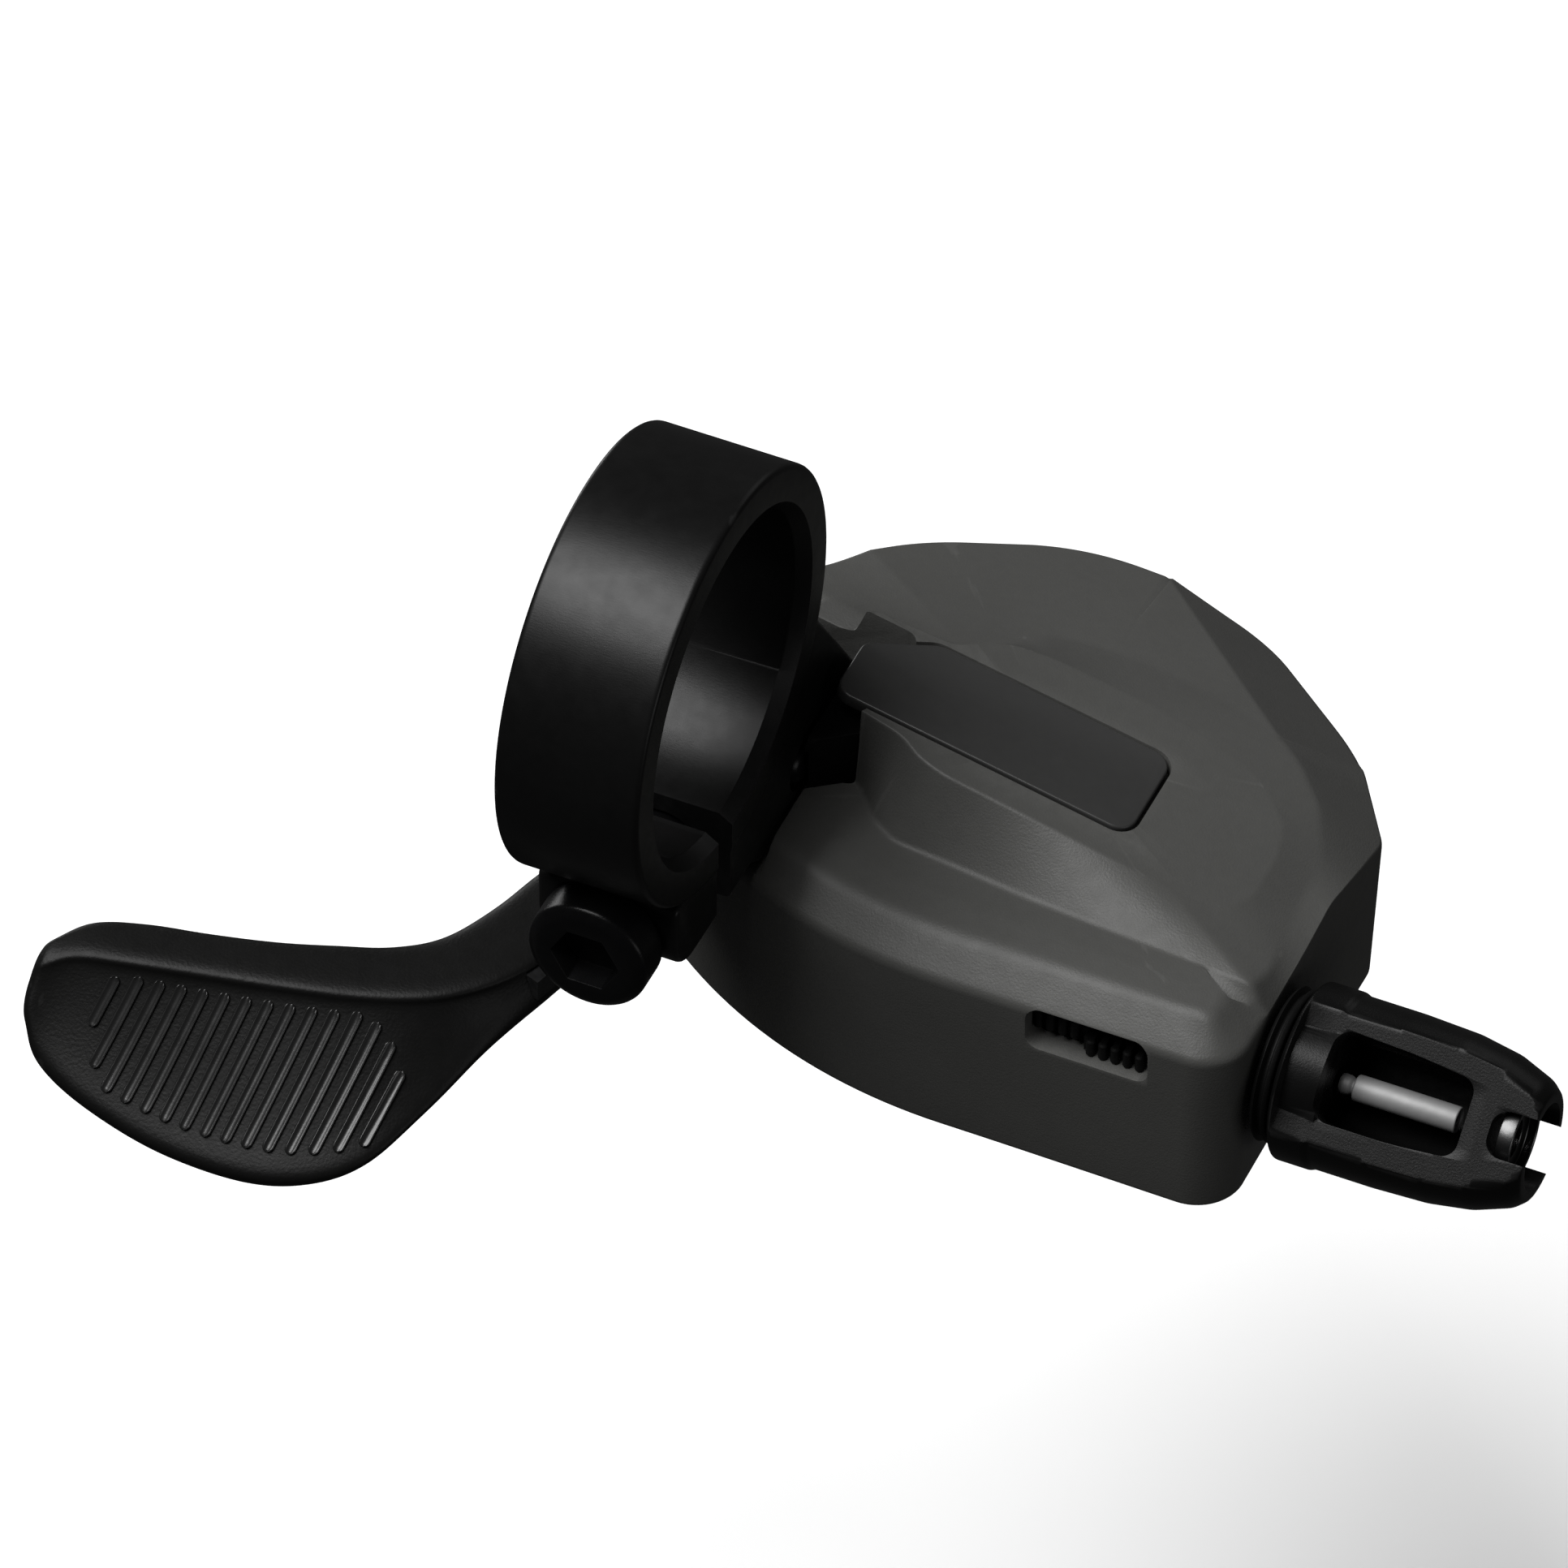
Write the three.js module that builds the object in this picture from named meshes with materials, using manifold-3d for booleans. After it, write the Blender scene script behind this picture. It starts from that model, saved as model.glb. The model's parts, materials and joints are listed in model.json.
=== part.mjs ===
// Thumb shifter for a bicycle handlebar: band clamp, single push lever, cable adjuster.
// Millimetres, +Z up, +X along the bar towards the adjuster, +Y forwards.
// The origin is the centre of the clamp bore.
import * as THREE from 'three';
import Module from 'manifold-3d';

const wasm = await Module();
wasm.setup();

// ---------- driving sizes ----------
const BAR_R = 11.1;               // handlebar radius (22.2 mm bar)
const BORE_R = BAR_R + 0.05;
const BAND_R = 14.2;
const BAND_HALF = 4.8;
const GAP_NEAR = -2.0;            // the split in the band, along Y
const GAP_FAR = 0.0;
const BOLT_Z = -15.3;

const PIVOT = [16.5, 15.5];       // lever and drum axis
const BASE_Z = -33;               // underside of the housing
const WALL_TOP_Z = -20;           // top of the near wall
const LEDGE_Z = -18;
const TILT = 0.222;               // fall of the plateau per mm of X
const DECK_AT_13 = -13;           // plateau height at X = 13

const CABLE_Y = 7.5;              // adjuster and cable line
const CABLE_Z = -25.2;
const CLEAR = 0.3;
const ARC_STEPS = 3;              // steps in each rounded corner, halved by three.js
const RING_STEPS = 44;

const deckZ = (x) => DECK_AT_13 - TILT * (x - 13);

// ---------- helpers ----------
function solid(geometry) {
  const g = geometry.clone();
  g.deleteAttribute('normal');
  g.deleteAttribute('uv');
  const at = g.attributes.position;
  const index = g.index ? Array.from(g.index.array) : [...Array(at.count).keys()];
  // turn the faces round if the outline was drawn the other way
  const [a, b, c] = [new THREE.Vector3(), new THREE.Vector3(), new THREE.Vector3()];
  let volume = 0;
  for (let i = 0; i < index.length; i += 3) {
    a.fromBufferAttribute(at, index[i]);
    b.fromBufferAttribute(at, index[i + 1]);
    c.fromBufferAttribute(at, index[i + 2]);
    volume += a.dot(b.cross(c));
  }
  if (volume < 0) index.reverse();
  const mesh = new wasm.Mesh({
    numProp: 3,
    vertProperties: new Float32Array(at.array),
    triVerts: new Uint32Array(index),
  });
  mesh.merge();
  return new wasm.Manifold(mesh);
}

function geometryOf(body) {
  const mesh = body.getMesh();
  const g = new THREE.BufferGeometry();
  g.setAttribute('position', new THREE.BufferAttribute(new Float32Array(mesh.vertProperties), 3));
  g.setIndex(new THREE.BufferAttribute(new Uint32Array(mesh.triVerts), 1));
  g.computeVertexNormals();
  return g;
}

const place = (geometry, fn) => {
  fn(geometry);
  return solid(geometry);
};

const box = (x0, x1, y0, y1, z0, z1) => place(
  new THREE.BoxGeometry(x1 - x0, y1 - y0, z1 - z0),
  (g) => g.translate((x0 + x1) / 2, (y0 + y1) / 2, (z0 + z1) / 2),
);

// cylinder along Z, X or Y
const rodZ = (x, y, z0, z1, r, n = 18) => place(
  new THREE.CylinderGeometry(r, r, z1 - z0, n),
  (g) => g.rotateX(Math.PI / 2).translate(x, y, (z0 + z1) / 2),
);
const rodX = (y, z, x0, x1, r, n = 18) => place(
  new THREE.CylinderGeometry(r, r, x1 - x0, n),
  (g) => g.rotateZ(-Math.PI / 2).translate((x0 + x1) / 2, y, z),
);
const rodY = (x, z, y0, y1, r, n = 18) => place(
  new THREE.CylinderGeometry(r, r, y1 - y0, n),
  (g) => g.translate(x, (y0 + y1) / 2, z),
);

// closed outline [x, y, radius] with rounded corners
function roundedShape(corners) {
  const shape = new THREE.Shape();
  const count = corners.length;
  corners.forEach(([x, y, r], i) => {
    const before = corners[(i + count - 1) % count];
    const after = corners[(i + 1) % count];
    const a = new THREE.Vector2(before[0] - x, before[1] - y).normalize();
    const b = new THREE.Vector2(after[0] - x, after[1] - y).normalize();
    const half = Math.acos(THREE.MathUtils.clamp(a.dot(b), -1, 1)) / 2;
    const reach = r / Math.tan(half);
    const start = [x + a.x * reach, y + a.y * reach];
    const end = [x + b.x * reach, y + b.y * reach];
    if (i === 0) shape.moveTo(...start);
    else shape.lineTo(...start);
    const middle = a.clone().add(b).normalize().multiplyScalar(r / Math.sin(half));
    const centre = [x + middle.x, y + middle.y];
    const from = Math.atan2(start[1] - centre[1], start[0] - centre[0]);
    const to = Math.atan2(end[1] - centre[1], end[0] - centre[0]);
    const clockwise = a.x * b.y - a.y * b.x > 0;
    shape.absarc(centre[0], centre[1], r, from, to, clockwise);
  });
  shape.closePath();
  return shape;
}

const extrude = (shape, z0, z1, curve = ARC_STEPS) => place(
  new THREE.ExtrudeGeometry(shape, { depth: z1 - z0, bevelEnabled: false, curveSegments: curve }),
  (g) => g.translate(0, 0, z0),
);

// ring or turned piece: profile [along, radius], turned about X (or Z)
function turned(profile, segments, axis) {
  const points = profile.map(([along, r]) => new THREE.Vector2(r, along));
  const g = new THREE.LatheGeometry(points, segments);
  if (axis === 'x') g.rotateZ(-Math.PI / 2);
  else g.rotateX(Math.PI / 2);
  return solid(g);
}

// skin over rings that all have the same number of points, with flat ends
function loft(rings) {
  const count = rings[0].length;
  const points = rings.flat();
  const faces = [];
  for (let r = 0; r + 1 < rings.length; r += 1) {
    for (let i = 0; i < count; i += 1) {
      const j = (i + 1) % count;
      const a = r * count + i;
      const b = r * count + j;
      faces.push(a, b, b + count, a, b + count, a + count);
    }
  }
  const cap = (ring, flip) => {
    const centre = ring.reduce((s, p) => s.map((v, k) => v + p[k] / count), [0, 0, 0]);
    const c = points.push(centre) - 1;
    const first = flip ? 0 : (rings.length - 1) * count;
    for (let i = 0; i < count; i += 1) {
      const j = (i + 1) % count;
      if (flip) faces.push(first + j, first + i, c);
      else faces.push(first + i, first + j, c);
    }
  };
  cap(rings[0], true);
  cap(rings[rings.length - 1], false);
  const g = new THREE.BufferGeometry();
  g.setAttribute('position', new THREE.BufferAttribute(new Float32Array(points.flat()), 3));
  g.setIndex(faces);
  return solid(g);
}

// round wire along a list of points, closed at both ends
function wire(path, radius, sides = 6) {
  const curve = path.map((p) => new THREE.Vector3(...p));
  const rings = curve.map((p, i) => {
    const ahead = curve[Math.min(i + 1, curve.length - 1)];
    const behind = curve[Math.max(i - 1, 0)];
    const t = ahead.clone().sub(behind).normalize();
    const flat = Math.abs(t.z) < 0.9;
    const up = flat ? new THREE.Vector3(0, 0, 1) : new THREE.Vector3(1, 0, 0);
    const u = up.clone().cross(t).normalize();
    const v = t.clone().cross(u);
    return Array.from({ length: sides }, (_, k) => {
      const a = (k / sides) * 2 * Math.PI;
      const q = p.clone().addScaledVector(u, Math.cos(a) * radius).addScaledVector(v, Math.sin(a) * radius);
      return [q.x, q.y, q.z];
    });
  });
  return loft(rings);
}

// torsion spring: coil about Z with two straight legs
function coil(z0, r, wireR, turns, pitch, startDeg, legs = [0, 0]) {
  const perTurn = 10;
  const steps = Math.round(turns * perTurn);
  const path = [];
  for (let i = 0; i <= steps; i += 1) {
    const a = THREE.MathUtils.degToRad(startDeg) + (i / perTurn) * 2 * Math.PI;
    path.push([r * Math.cos(a), r * Math.sin(a), z0 + wireR + (pitch * i) / perTurn]);
  }
  const leg = (from, next, length) => {
    const d = new THREE.Vector3(...from).sub(new THREE.Vector3(...next)).setZ(0).normalize();
    return [from[0] + d.x * length, from[1] + d.y * length, from[2]];
  };
  if (legs[0]) path.unshift(leg(path[0], path[1], legs[0]));
  if (legs[1]) path.push(leg(path[path.length - 1], path[path.length - 2], legs[1]));
  return wire(path, wireR);
}

// point at a radius and an angle about the pivot
const polar = (r, deg) => {
  const a = THREE.MathUtils.degToRad(deg);
  return [r * Math.cos(a), r * Math.sin(a)];
};

// finishes
const ANODISED = { color: 0x101010, roughness: 0.35, metalness: 0.3 };
const BLACK = { color: 0x141414, roughness: 0.5, metalness: 0 };
const GREY = { color: 0x3e3e3c, roughness: 0.55, metalness: 0 };
const PLATE_BLACK = { color: 0x2b2b2b, roughness: 0.4, metalness: 0 };
const RUBBER = { color: 0x0a0a0a, roughness: 0.8, metalness: 0 };
const NATURAL = { color: 0x6a6a66, roughness: 0.5, metalness: 0 };
const STEEL = { color: 0x9a9c9e, roughness: 0.35, metalness: 1 };
const DARK_STEEL = { color: 0x1b1b1c, roughness: 0.4, metalness: 0.6 };

// one named mesh with its own material, placed in its group
function add(parent, name, body, finish, position = [0, 0, 0], rotation = [0, 0, 0]) {
  const mesh = new THREE.Mesh(geometryOf(body), new THREE.MeshStandardMaterial(finish));
  mesh.name = name;
  mesh.position.set(...position);
  mesh.rotation.set(...rotation);
  parent.add(mesh);
}

function subgroup(parent, position = [0, 0, 0]) {
  const child = new THREE.Group();
  child.position.set(...position);
  parent.add(child);
  return child;
}

// ---------- clamp ----------
const BRACKET_SCREWS = [           // through the arm along X: y and reach
  { y: 10.8, tip: 7.6 },
  { y: 16.4, tip: 11.0 },
];
const SCREW_Z = -16.3;
const bracketScrewHoles = (shankR, headR) => BRACKET_SCREWS
  .map(({ y, tip }) => rodX(y, SCREW_Z, -6, tip + 0.3, shankR, 16).add(rodX(y, SCREW_Z, -8, -2.2, headR, 20)))
  .reduce((a, b) => a.add(b));

const EAR_HALF = 4.7;
const ARM_BOTTOM = -19.2;
const ARM_FAR = 19.4;

function clampBand() {
  const half = BAND_HALF;
  const ring = turned([
    [-half, BORE_R + 0.55], [-half + 0.9, BORE_R], [half - 0.9, BORE_R], [half, BORE_R + 0.55],
    [half, BAND_R - 0.4], [half - 0.4, BAND_R], [-half + 0.4, BAND_R], [-half, BAND_R - 0.4],
    [-half, BORE_R + 0.55],
  ], RING_STEPS, 'x');
  // ears and arm, drawn in the YZ plane and pushed out along X
  const side = roundedShape([
    [-8, -12.4, 0.6], [-8, -18, 2.6], [3.2, -18.2, 1.2], [4.6, ARM_BOTTOM, 1.2],
    [ARM_FAR, ARM_BOTTOM, 1.2], [ARM_FAR, -15.2, 2.4], [12.8, -5.2, 1.5], [0, -10.2, 1.0],
  ]);
  const g = new THREE.ExtrudeGeometry(side, { depth: 2 * EAR_HALF, bevelEnabled: false, curveSegments: ARC_STEPS });
  g.rotateX(Math.PI / 2).rotateZ(Math.PI / 2).translate(-EAR_HALF, 0, 0);
  const arm = solid(g);
  return ring.add(arm)
    .subtract(rodX(0, 0, -8, 8, BORE_R, RING_STEPS))
    .subtract(turned([[-half - 1, 0], [-half - 1, BORE_R + 1.15], [-half + 0.9, BORE_R], [-half + 0.9, 0]],
      RING_STEPS, 'x'))
    .subtract(turned([[half - 0.9, 0], [half - 0.9, BORE_R], [half + 1, BORE_R + 1.15], [half + 1, 0]],
      RING_STEPS, 'x'))
    .subtract(box(-8, 8, GAP_NEAR, GAP_FAR, -24, -9))
    .subtract(rodY(0, BOLT_Z, -12, 8, 2.8))
    .subtract(rodY(0, BOLT_Z, -16, -8, 4.3, 32))
    .subtract(bracketScrewHoles(1.8, 2.6))
    .subtract(box(-4.2, 4.2, 2.6, 5.8, -20, BOLT_Z + 4.2));
}

const BRACKET = { x0: 5.0, lip: 8.4, x1: 12.2, y0: 8.6, step: 13.4, y1: 19.2, z0: -19.2, z1: -13.9 };

function clampBracket() {
  const b = BRACKET;
  // a block with a wedge cut off its near upper edge, short outside the plateau and long under it
  const side = roundedShape([
    [b.y0, b.z0, 0.5], [b.y1, b.z0, 0.5], [b.y1, b.z1, 0.8], [b.y0 + 2.4, b.z1, 0.8], [b.y0, b.z1 - 2.0, 0.8],
  ]);
  const g = new THREE.ExtrudeGeometry(side, { depth: b.x1 - b.x0, bevelEnabled: false, curveSegments: ARC_STEPS });
  g.rotateX(Math.PI / 2).rotateZ(Math.PI / 2).translate(b.x0, 0, 0);
  return solid(g)
    .subtract(box(b.lip, b.x1 + 1, b.y0 - 1, b.step, b.z0 - 1, b.z1 + 1))
    .subtract(bracketScrewHoles(1.5, 2.6));
}

// socket-head screw standing along +Z with the head below z0, turned by the caller
function screw(shankR, shankLength, headR, headHeight, socket) {
  const edge = headHeight * 0.17;
  const head = turned([
    [-headHeight, 0], [-headHeight, headR - edge], [-headHeight + edge, headR], [-0.15, headR],
    [0, headR - 0.15], [0, shankR], [shankLength - 0.4, shankR], [shankLength, shankR - 0.4], [shankLength, 0],
  ], headR > 3 ? 24 : 14, 'z');
  const hex = rodZ(0, 0, -headHeight - 1, -headHeight * 0.35, socket, 6);
  return head.subtract(hex);
}

// ---------- housing ----------
const OUTLINE = [
  [6.0, 0.4, 35], [38.2, 0.4, 3.2], [38.2, 24.5, 2.0], [33.6, 31.4, 16], [25.0, 37.9, 6],
  [12.5, 37.0, 14], [4.0, 31.0, 18], [-2.6, 22.6, 14], [-5.4, 15.0, 6], [-5.4, 9.96, 3],
];

// the outline moved inwards: every corner slides along its bisector
function inset(corners, d) {
  const count = corners.length;
  return corners.map(([x, y, r], i) => {
    const p = corners[(i + count - 1) % count];
    const q = corners[(i + 1) % count];
    const u = new THREE.Vector2(x - p[0], y - p[1]).normalize();
    const v = new THREE.Vector2(q[0] - x, q[1] - y).normalize();
    const nu = [-u.y, u.x];
    const nv = [-v.y, v.x];
    const k = d / (1 + nu[0] * nv[0] + nu[1] * nv[1]);
    return [x + (nu[0] + nv[0]) * k, y + (nu[1] + nv[1]) * k, Math.max(r - d, 0.6)];
  });
}

const outlinePoints = (corners, z) => roundedShape(corners).getPoints(ARC_STEPS).slice(0, -1)
  .map((p) => [p.x, p.y, typeof z === 'function' ? z(p.x, p.y) : z]);

// the far facet behind the plateau, and the steeper one at its right end
const FAR_NORMAL = [0.1326, 0.2, 1];  // dips 0.1326 per mm of X, 0.2 per mm of Y
const CORNER_NORMAL = [0.49, 0.6, 1];
const FAR_POINT = [18.2, 37.1, -17.85];
const dot = (a, b) => a.reduce((sum, v, i) => sum + v * b[i], 0);
const below = (body, normal, at) => body.trimByPlane(
  normal.map((v) => -v / Math.hypot(...normal)),
  -dot(normal, at) / Math.hypot(...normal),
);

// plateau top and the foot it grows from, matched corner by corner
const DECK = [
  [12.6, 10.8, 1.5], [32.2, 10.8, 2.2], [34.2, 12.8, 2.2], [34.2, 19.4, 3.0], [29.6, 23.4, 4.0],
  [4.0, 23.4, 1.0], [4.0, 13.6, 1.0], [10.8, 12.6, 1.5],
];
const FOOT = [
  [11.8, 8.3, 2.5], [35.6, 6.3, 1.5], [38.0, 8.5, 1.0], [38.0, 25.6, 1.6], [33.0, 35.5, 5.0],
  [-3.0, 35.5, 1.5], [-3.0, 13.2, 1.0], [8.0, 11.8, 2.5],
];
const footZ = (x, y) => {
  const right = THREE.MathUtils.smoothstep(x, 32, 38);
  return LEDGE_Z - 0.2 - 1.9 * right;
};

function matched(corners, z) {
  // four points on every corner, so that two outlines pair up
  const count = corners.length;
  const points = [];
  corners.forEach(([x, y, r], i) => {
    const p = corners[(i + count - 1) % count];
    const q = corners[(i + 1) % count];
    const a = new THREE.Vector2(p[0] - x, p[1] - y).normalize();
    const b = new THREE.Vector2(q[0] - x, q[1] - y).normalize();
    const half = Math.acos(THREE.MathUtils.clamp(a.dot(b), -1, 1)) / 2;
    const reach = r / Math.tan(half);
    const start = new THREE.Vector2(x, y).addScaledVector(a, reach);
    const end = new THREE.Vector2(x, y).addScaledVector(b, reach);
    for (let k = 0; k < 4; k += 1) {
      const t = k / 3;
      const px = (1 - t) ** 2 * start.x + 2 * t * (1 - t) * x + t * t * end.x;
      const py = (1 - t) ** 2 * start.y + 2 * t * (1 - t) * y + t * t * end.y;
      points.push([px, py, z(px, py)]);
    }
  });
  return points;
}

const SLOT = { x0: 24.4, x1: 32.6, z0: -23.2, z1: -19.6 };
const BOSSES = [[-1.0, 15.5], [5.6, 24.5], [26.5, 28.4], [33.0, 20.0]];
const PLATE = [[5.6, 13.1, 0.8], [26.0, 13.1, 1.3], [26.0, 20.3, 1.3], [5.6, 20.3, 2.4]];

// a flat piece lying in the tilted plateau, top face `lift` above it
function onDeck(shape, thickness, lift) {
  const g = new THREE.ExtrudeGeometry(shape, { depth: thickness, bevelEnabled: false, curveSegments: ARC_STEPS });
  g.translate(-13, 0, -thickness + lift).rotateY(Math.atan(TILT)).translate(13, 0, DECK_AT_13);
  return solid(g);
}

function upperCover() {
  const walls = extrude(roundedShape(OUTLINE), BASE_Z, WALL_TOP_Z);
  const shoulder = loft([
    outlinePoints(OUTLINE, WALL_TOP_Z - 0.01),
    outlinePoints(inset(OUTLINE, 2.4), LEDGE_Z),
  ]);
  const deck = loft([matched(FOOT, footZ), matched(DECK, deckZ)])
    .intersect(extrude(roundedShape(OUTLINE), -23, -8));
  const far = extrude(roundedShape(OUTLINE), -22, -8)
    .intersect(box(-20, 60, 24.5, 50, -30, 0));
  const facets = below(below(far, FAR_NORMAL, FAR_POINT), CORNER_NORMAL, FAR_POINT);
  let body = walls.add(shoulder).add(deck).add(facets);
  // hollow
  body = body.subtract(extrude(roundedShape(inset(OUTLINE, 1.8)), BASE_Z - 1, -21.6));
  body = body.subtract(extrude(roundedShape([
    [13.4, 11.4, 1.5], [31.5, 11.4, 2], [31.5, 22.4, 4], [13.4, 22.4, 1.5],
  ]), -22, -19.6));
  // bosses for the cover screws and the top seat of the axle
  BOSSES.forEach(([x, y]) => {
    body = body.add(rodZ(x, y, -29.3, -21.0, 2.5, 20));
    body = body.subtract(rodZ(x, y, -30, -23.5, 1.2, 14));
  });
  body = body.add(rodZ(PIVOT[0], PIVOT[1], -21.3, -18.4, 4.2, 24));
  body = body.subtract(rodZ(PIVOT[0], PIVOT[1], -22, -19.7, 2.6, 24));
  // room for the clamp arm and its bracket at the left end
  body = body.subtract(box(-12, 5.3, -5, 19.9, -19.6, 0));
  const { lip, x1, y0, y1, step } = BRACKET;
  body = body.subtract(box(5.2, lip + CLEAR, y0 - CLEAR, y1 + CLEAR, -19.6, -8));
  body = body.subtract(box(5.2, x1 + CLEAR, step - CLEAR, y1 + CLEAR, -19.6, -12));
  // pocket for the plate that covers the bracket
  body = body.subtract(onDeck(roundedShape([
    [5.0, 12.8, 0.8], [26.3, 12.8, 1.5], [26.3, 20.6, 1.5], [5.0, 20.6, 0.8],
  ]), 7.3, 6));
  // window in the near wall
  const window_ = place(
    new THREE.ExtrudeGeometry(roundedShape([
      [SLOT.x0, SLOT.z0, 0.8], [SLOT.x1, SLOT.z0, 0.8], [SLOT.x1, SLOT.z1, 0.8], [SLOT.x0, SLOT.z1, 0.8],
    ]), { depth: 3.4, bevelEnabled: false, curveSegments: ARC_STEPS }),
    (g) => g.rotateX(Math.PI / 2).translate(0, 2.6, 0),
  );
  body = body.subtract(window_);
  // adjuster hole in the end wall
  return body.subtract(rodX(CABLE_Y, CABLE_Z, 34, 42, 3.3));
}

function windowGrommet() {
  // ribbed grommet seen through the window, in two stepped groups of ribs
  let body = box(SLOT.x0 - 1.2, SLOT.x1 + 1.2, 2.5, 3.6, SLOT.z0 - 0.9, -21.8);
  const ribs = 9;
  const pitch = (SLOT.x1 - SLOT.x0 - 1.0) / ribs;
  for (let i = 0; i < ribs; i += 1) {
    const x = SLOT.x0 + 0.5 + pitch * (i + 0.5);
    const low = i > 3 ? 0.7 : 0;
    body = body.add(box(x - 0.24, x + 0.24, 0.9 + low * 0.4, 2.6, SLOT.z0 + 0.3, -21.9 - low * 0.4));
  }
  return body;
}

function lowerCover() {
  let body = extrude(roundedShape(inset(OUTLINE, 2.1)), BASE_Z + 0.2, BASE_Z + 1.5);
  body = body.subtract(rodZ(PIVOT[0], PIVOT[1], -34, -31, 7.5, 32));
  BOSSES.forEach(([x, y]) => {
    body = body.subtract(rodZ(x, y, -34, -31, 1.4, 16));
    body = body.subtract(rodZ(x, y, -34, -32.05, 2.5, 20));
  });
  return body;
}

// ---------- mechanism, drawn about the pivot ----------
const LEVELS = {
  base: [-30.9, -29.7],
  drive: [-29.2, -28.0],
  ratchet: [-27.7, -26.5],
  drum: [-26.3, -23.6],
};
const PIN_TOP = -24.4;
const PIN_R = 1.0;
const HOLD = { angle: 196, radius: 11.9, side: 1, tip: 219 };
const DRIVE = { angle: 118, radius: 11.6, side: -1, tip: 95 };
const HOLD_PIN = polar(HOLD.radius, HOLD.angle);
const DRIVE_PIN = polar(DRIVE.radius, DRIVE.angle);

function basePlate() {
  let body = extrude(roundedShape(inset(OUTLINE, 2.6)), ...LEVELS.base);
  body = body.subtract(rodZ(PIVOT[0], PIVOT[1], -34, -28, 5.2, 24));
  BOSSES.forEach(([x, y]) => {
    body = body.subtract(rodZ(x, y, -34, -28, 1.4, 12));
  });
  return body.subtract(rodZ(PIVOT[0] + HOLD_PIN[0], PIVOT[1] + HOLD_PIN[1], -34, -28, PIN_R + 0.05, 12));
}

const pin = (z0, z1) => rodZ(0, 0, z0, z1, PIN_R - 0.01, 12);

const mainAxle = () => turned([
  [-39.4, 0], [-39.4, 2.1], [-39.0, 2.5], [-20.4, 2.5], [-20.0, 2.1], [-20.0, 0],
], 20, 'z');

function hexNut(acrossFlats, height, holeR) {
  const corner = acrossFlats / Math.sqrt(3);
  return rodZ(0, 0, 0, height, corner, 6)
    .intersect(turned([[0, 0], [0, corner * 0.93], [0.5, corner], [height - 0.5, corner],
      [height, corner * 0.93], [height, 0]], 24, 'z'))
    .subtract(rodZ(0, 0, -1, height + 1, holeR, 20));
}

const washer = (r, holeR, z0, z1) => rodZ(0, 0, z0, z1, r, 24).subtract(rodZ(0, 0, z0 - 1, z1 + 1, holeR, 20));

// sleeve on the axle that carries the lever's turn up to the drive plate
const driveHub = () => turned([
  [-36.2, 2.56], [-36.2, 4.5], [-28.1, 4.5], [-28.1, 2.56], [-36.2, 2.56],
], 24, 'z').subtract(box(3.9, 6, -10, 10, -37, -33.9));

function drivePlate() {
  const [z0, z1] = LEVELS.drive;
  const wedge = (z) => [[6.8, 88], [12.4, 110], [12.4, 126], [6.8, 148]].map(([r, a]) => [...polar(r, a), z]);
  return rodZ(0, 0, z0, z1, 7.4, 28)
    .add(rodZ(...DRIVE_PIN, z0, z1, 1.8, 16))
    .add(loft([wedge(z0), wedge(z1)]))
    .subtract(rodZ(0, 0, z0 - 1, z1 + 1, 4.6, 24))
    .subtract(rodZ(...DRIVE_PIN, z0 - 1, z1 + 1, PIN_R + 0.05, 12));
}

function ratchetWheel() {
  const teeth = 26;
  const shape = new THREE.Shape();
  for (let i = 0; i < teeth; i += 1) {
    const root = (i / teeth) * 360;
    const tip = ((i + 0.12) / teeth) * 360;
    shape[i ? 'lineTo' : 'moveTo'](...polar(8.9, root));
    shape.lineTo(...polar(9.8, tip));
  }
  shape.closePath();
  return extrude(shape, ...LEVELS.ratchet).subtract(rodZ(0, 0, -29, -25, 5.2, 24));
}

function cableDrum() {
  const [z0, z1] = LEVELS.drum;
  const spigot = LEVELS.ratchet[0];
  return turned([
    [spigot, 2.56], [spigot, 5.1], [z0, 5.1], [z0, 9.4], [z0 + 0.55, 9.4], [z0 + 0.75, 8.0],
    [z1 - 0.75, 8.0], [z1 - 0.55, 9.4], [z1, 9.4], [z1, 6.9], [z0 + 1.2, 6.9], [z0 + 1.2, 3.9],
    [z1, 3.9], [z1, 2.56], [spigot, 2.56],
  ], 28, 'z').subtract(rodZ(...polar(8.3, 40), z0 - 0.2, z1 + 1, 0.9, 12));
}

// pawl, drawn about its pin: an eye and a beak that reaches the teeth
function pawl({ angle, radius, side, tip }) {
  const [z0, z1] = LEVELS.ratchet;
  const eye = polar(radius, angle);
  const corners = [
    polar(10.7, angle + side * 8), polar(10.2, tip), polar(11.5, tip + side * 2), polar(12.6, angle + side * 6),
  ].map(([x, y]) => [x - eye[0], y - eye[1]]);
  const beak = (z) => (side > 0 ? corners : [...corners].reverse()).map((c) => [...c, z]);
  return loft([beak(z0), beak(z1)])
    .add(rodZ(0, 0, z0, z1, 1.6, 16))
    .subtract(rodZ(0, 0, z0 - 1, z1 + 1, PIN_R + 0.09, 12));
}

const pawlSpring = (startDeg) => coil(-26.3, 1.45, 0.22, 2, 0.6, startDeg, [0, 2.5]);

// ---------- lever ----------
const LEVER_TOP = -33.5;
const ARM_THICK = 3.4;
const PLATE_LEVEL = [-35.9, -34.3];
const ARM_PATH = [
  [16.5, 15.5], [5.5, 16.8], [-3.5, 15.6], [-9.2, 10.6], [-11.6, 3.6], [-13.4, -2.2],
];
const RIVETS = [[-4.4, 14.4], [-9.8, 8.6]];
const RIVET_R = 1.1;

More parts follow.
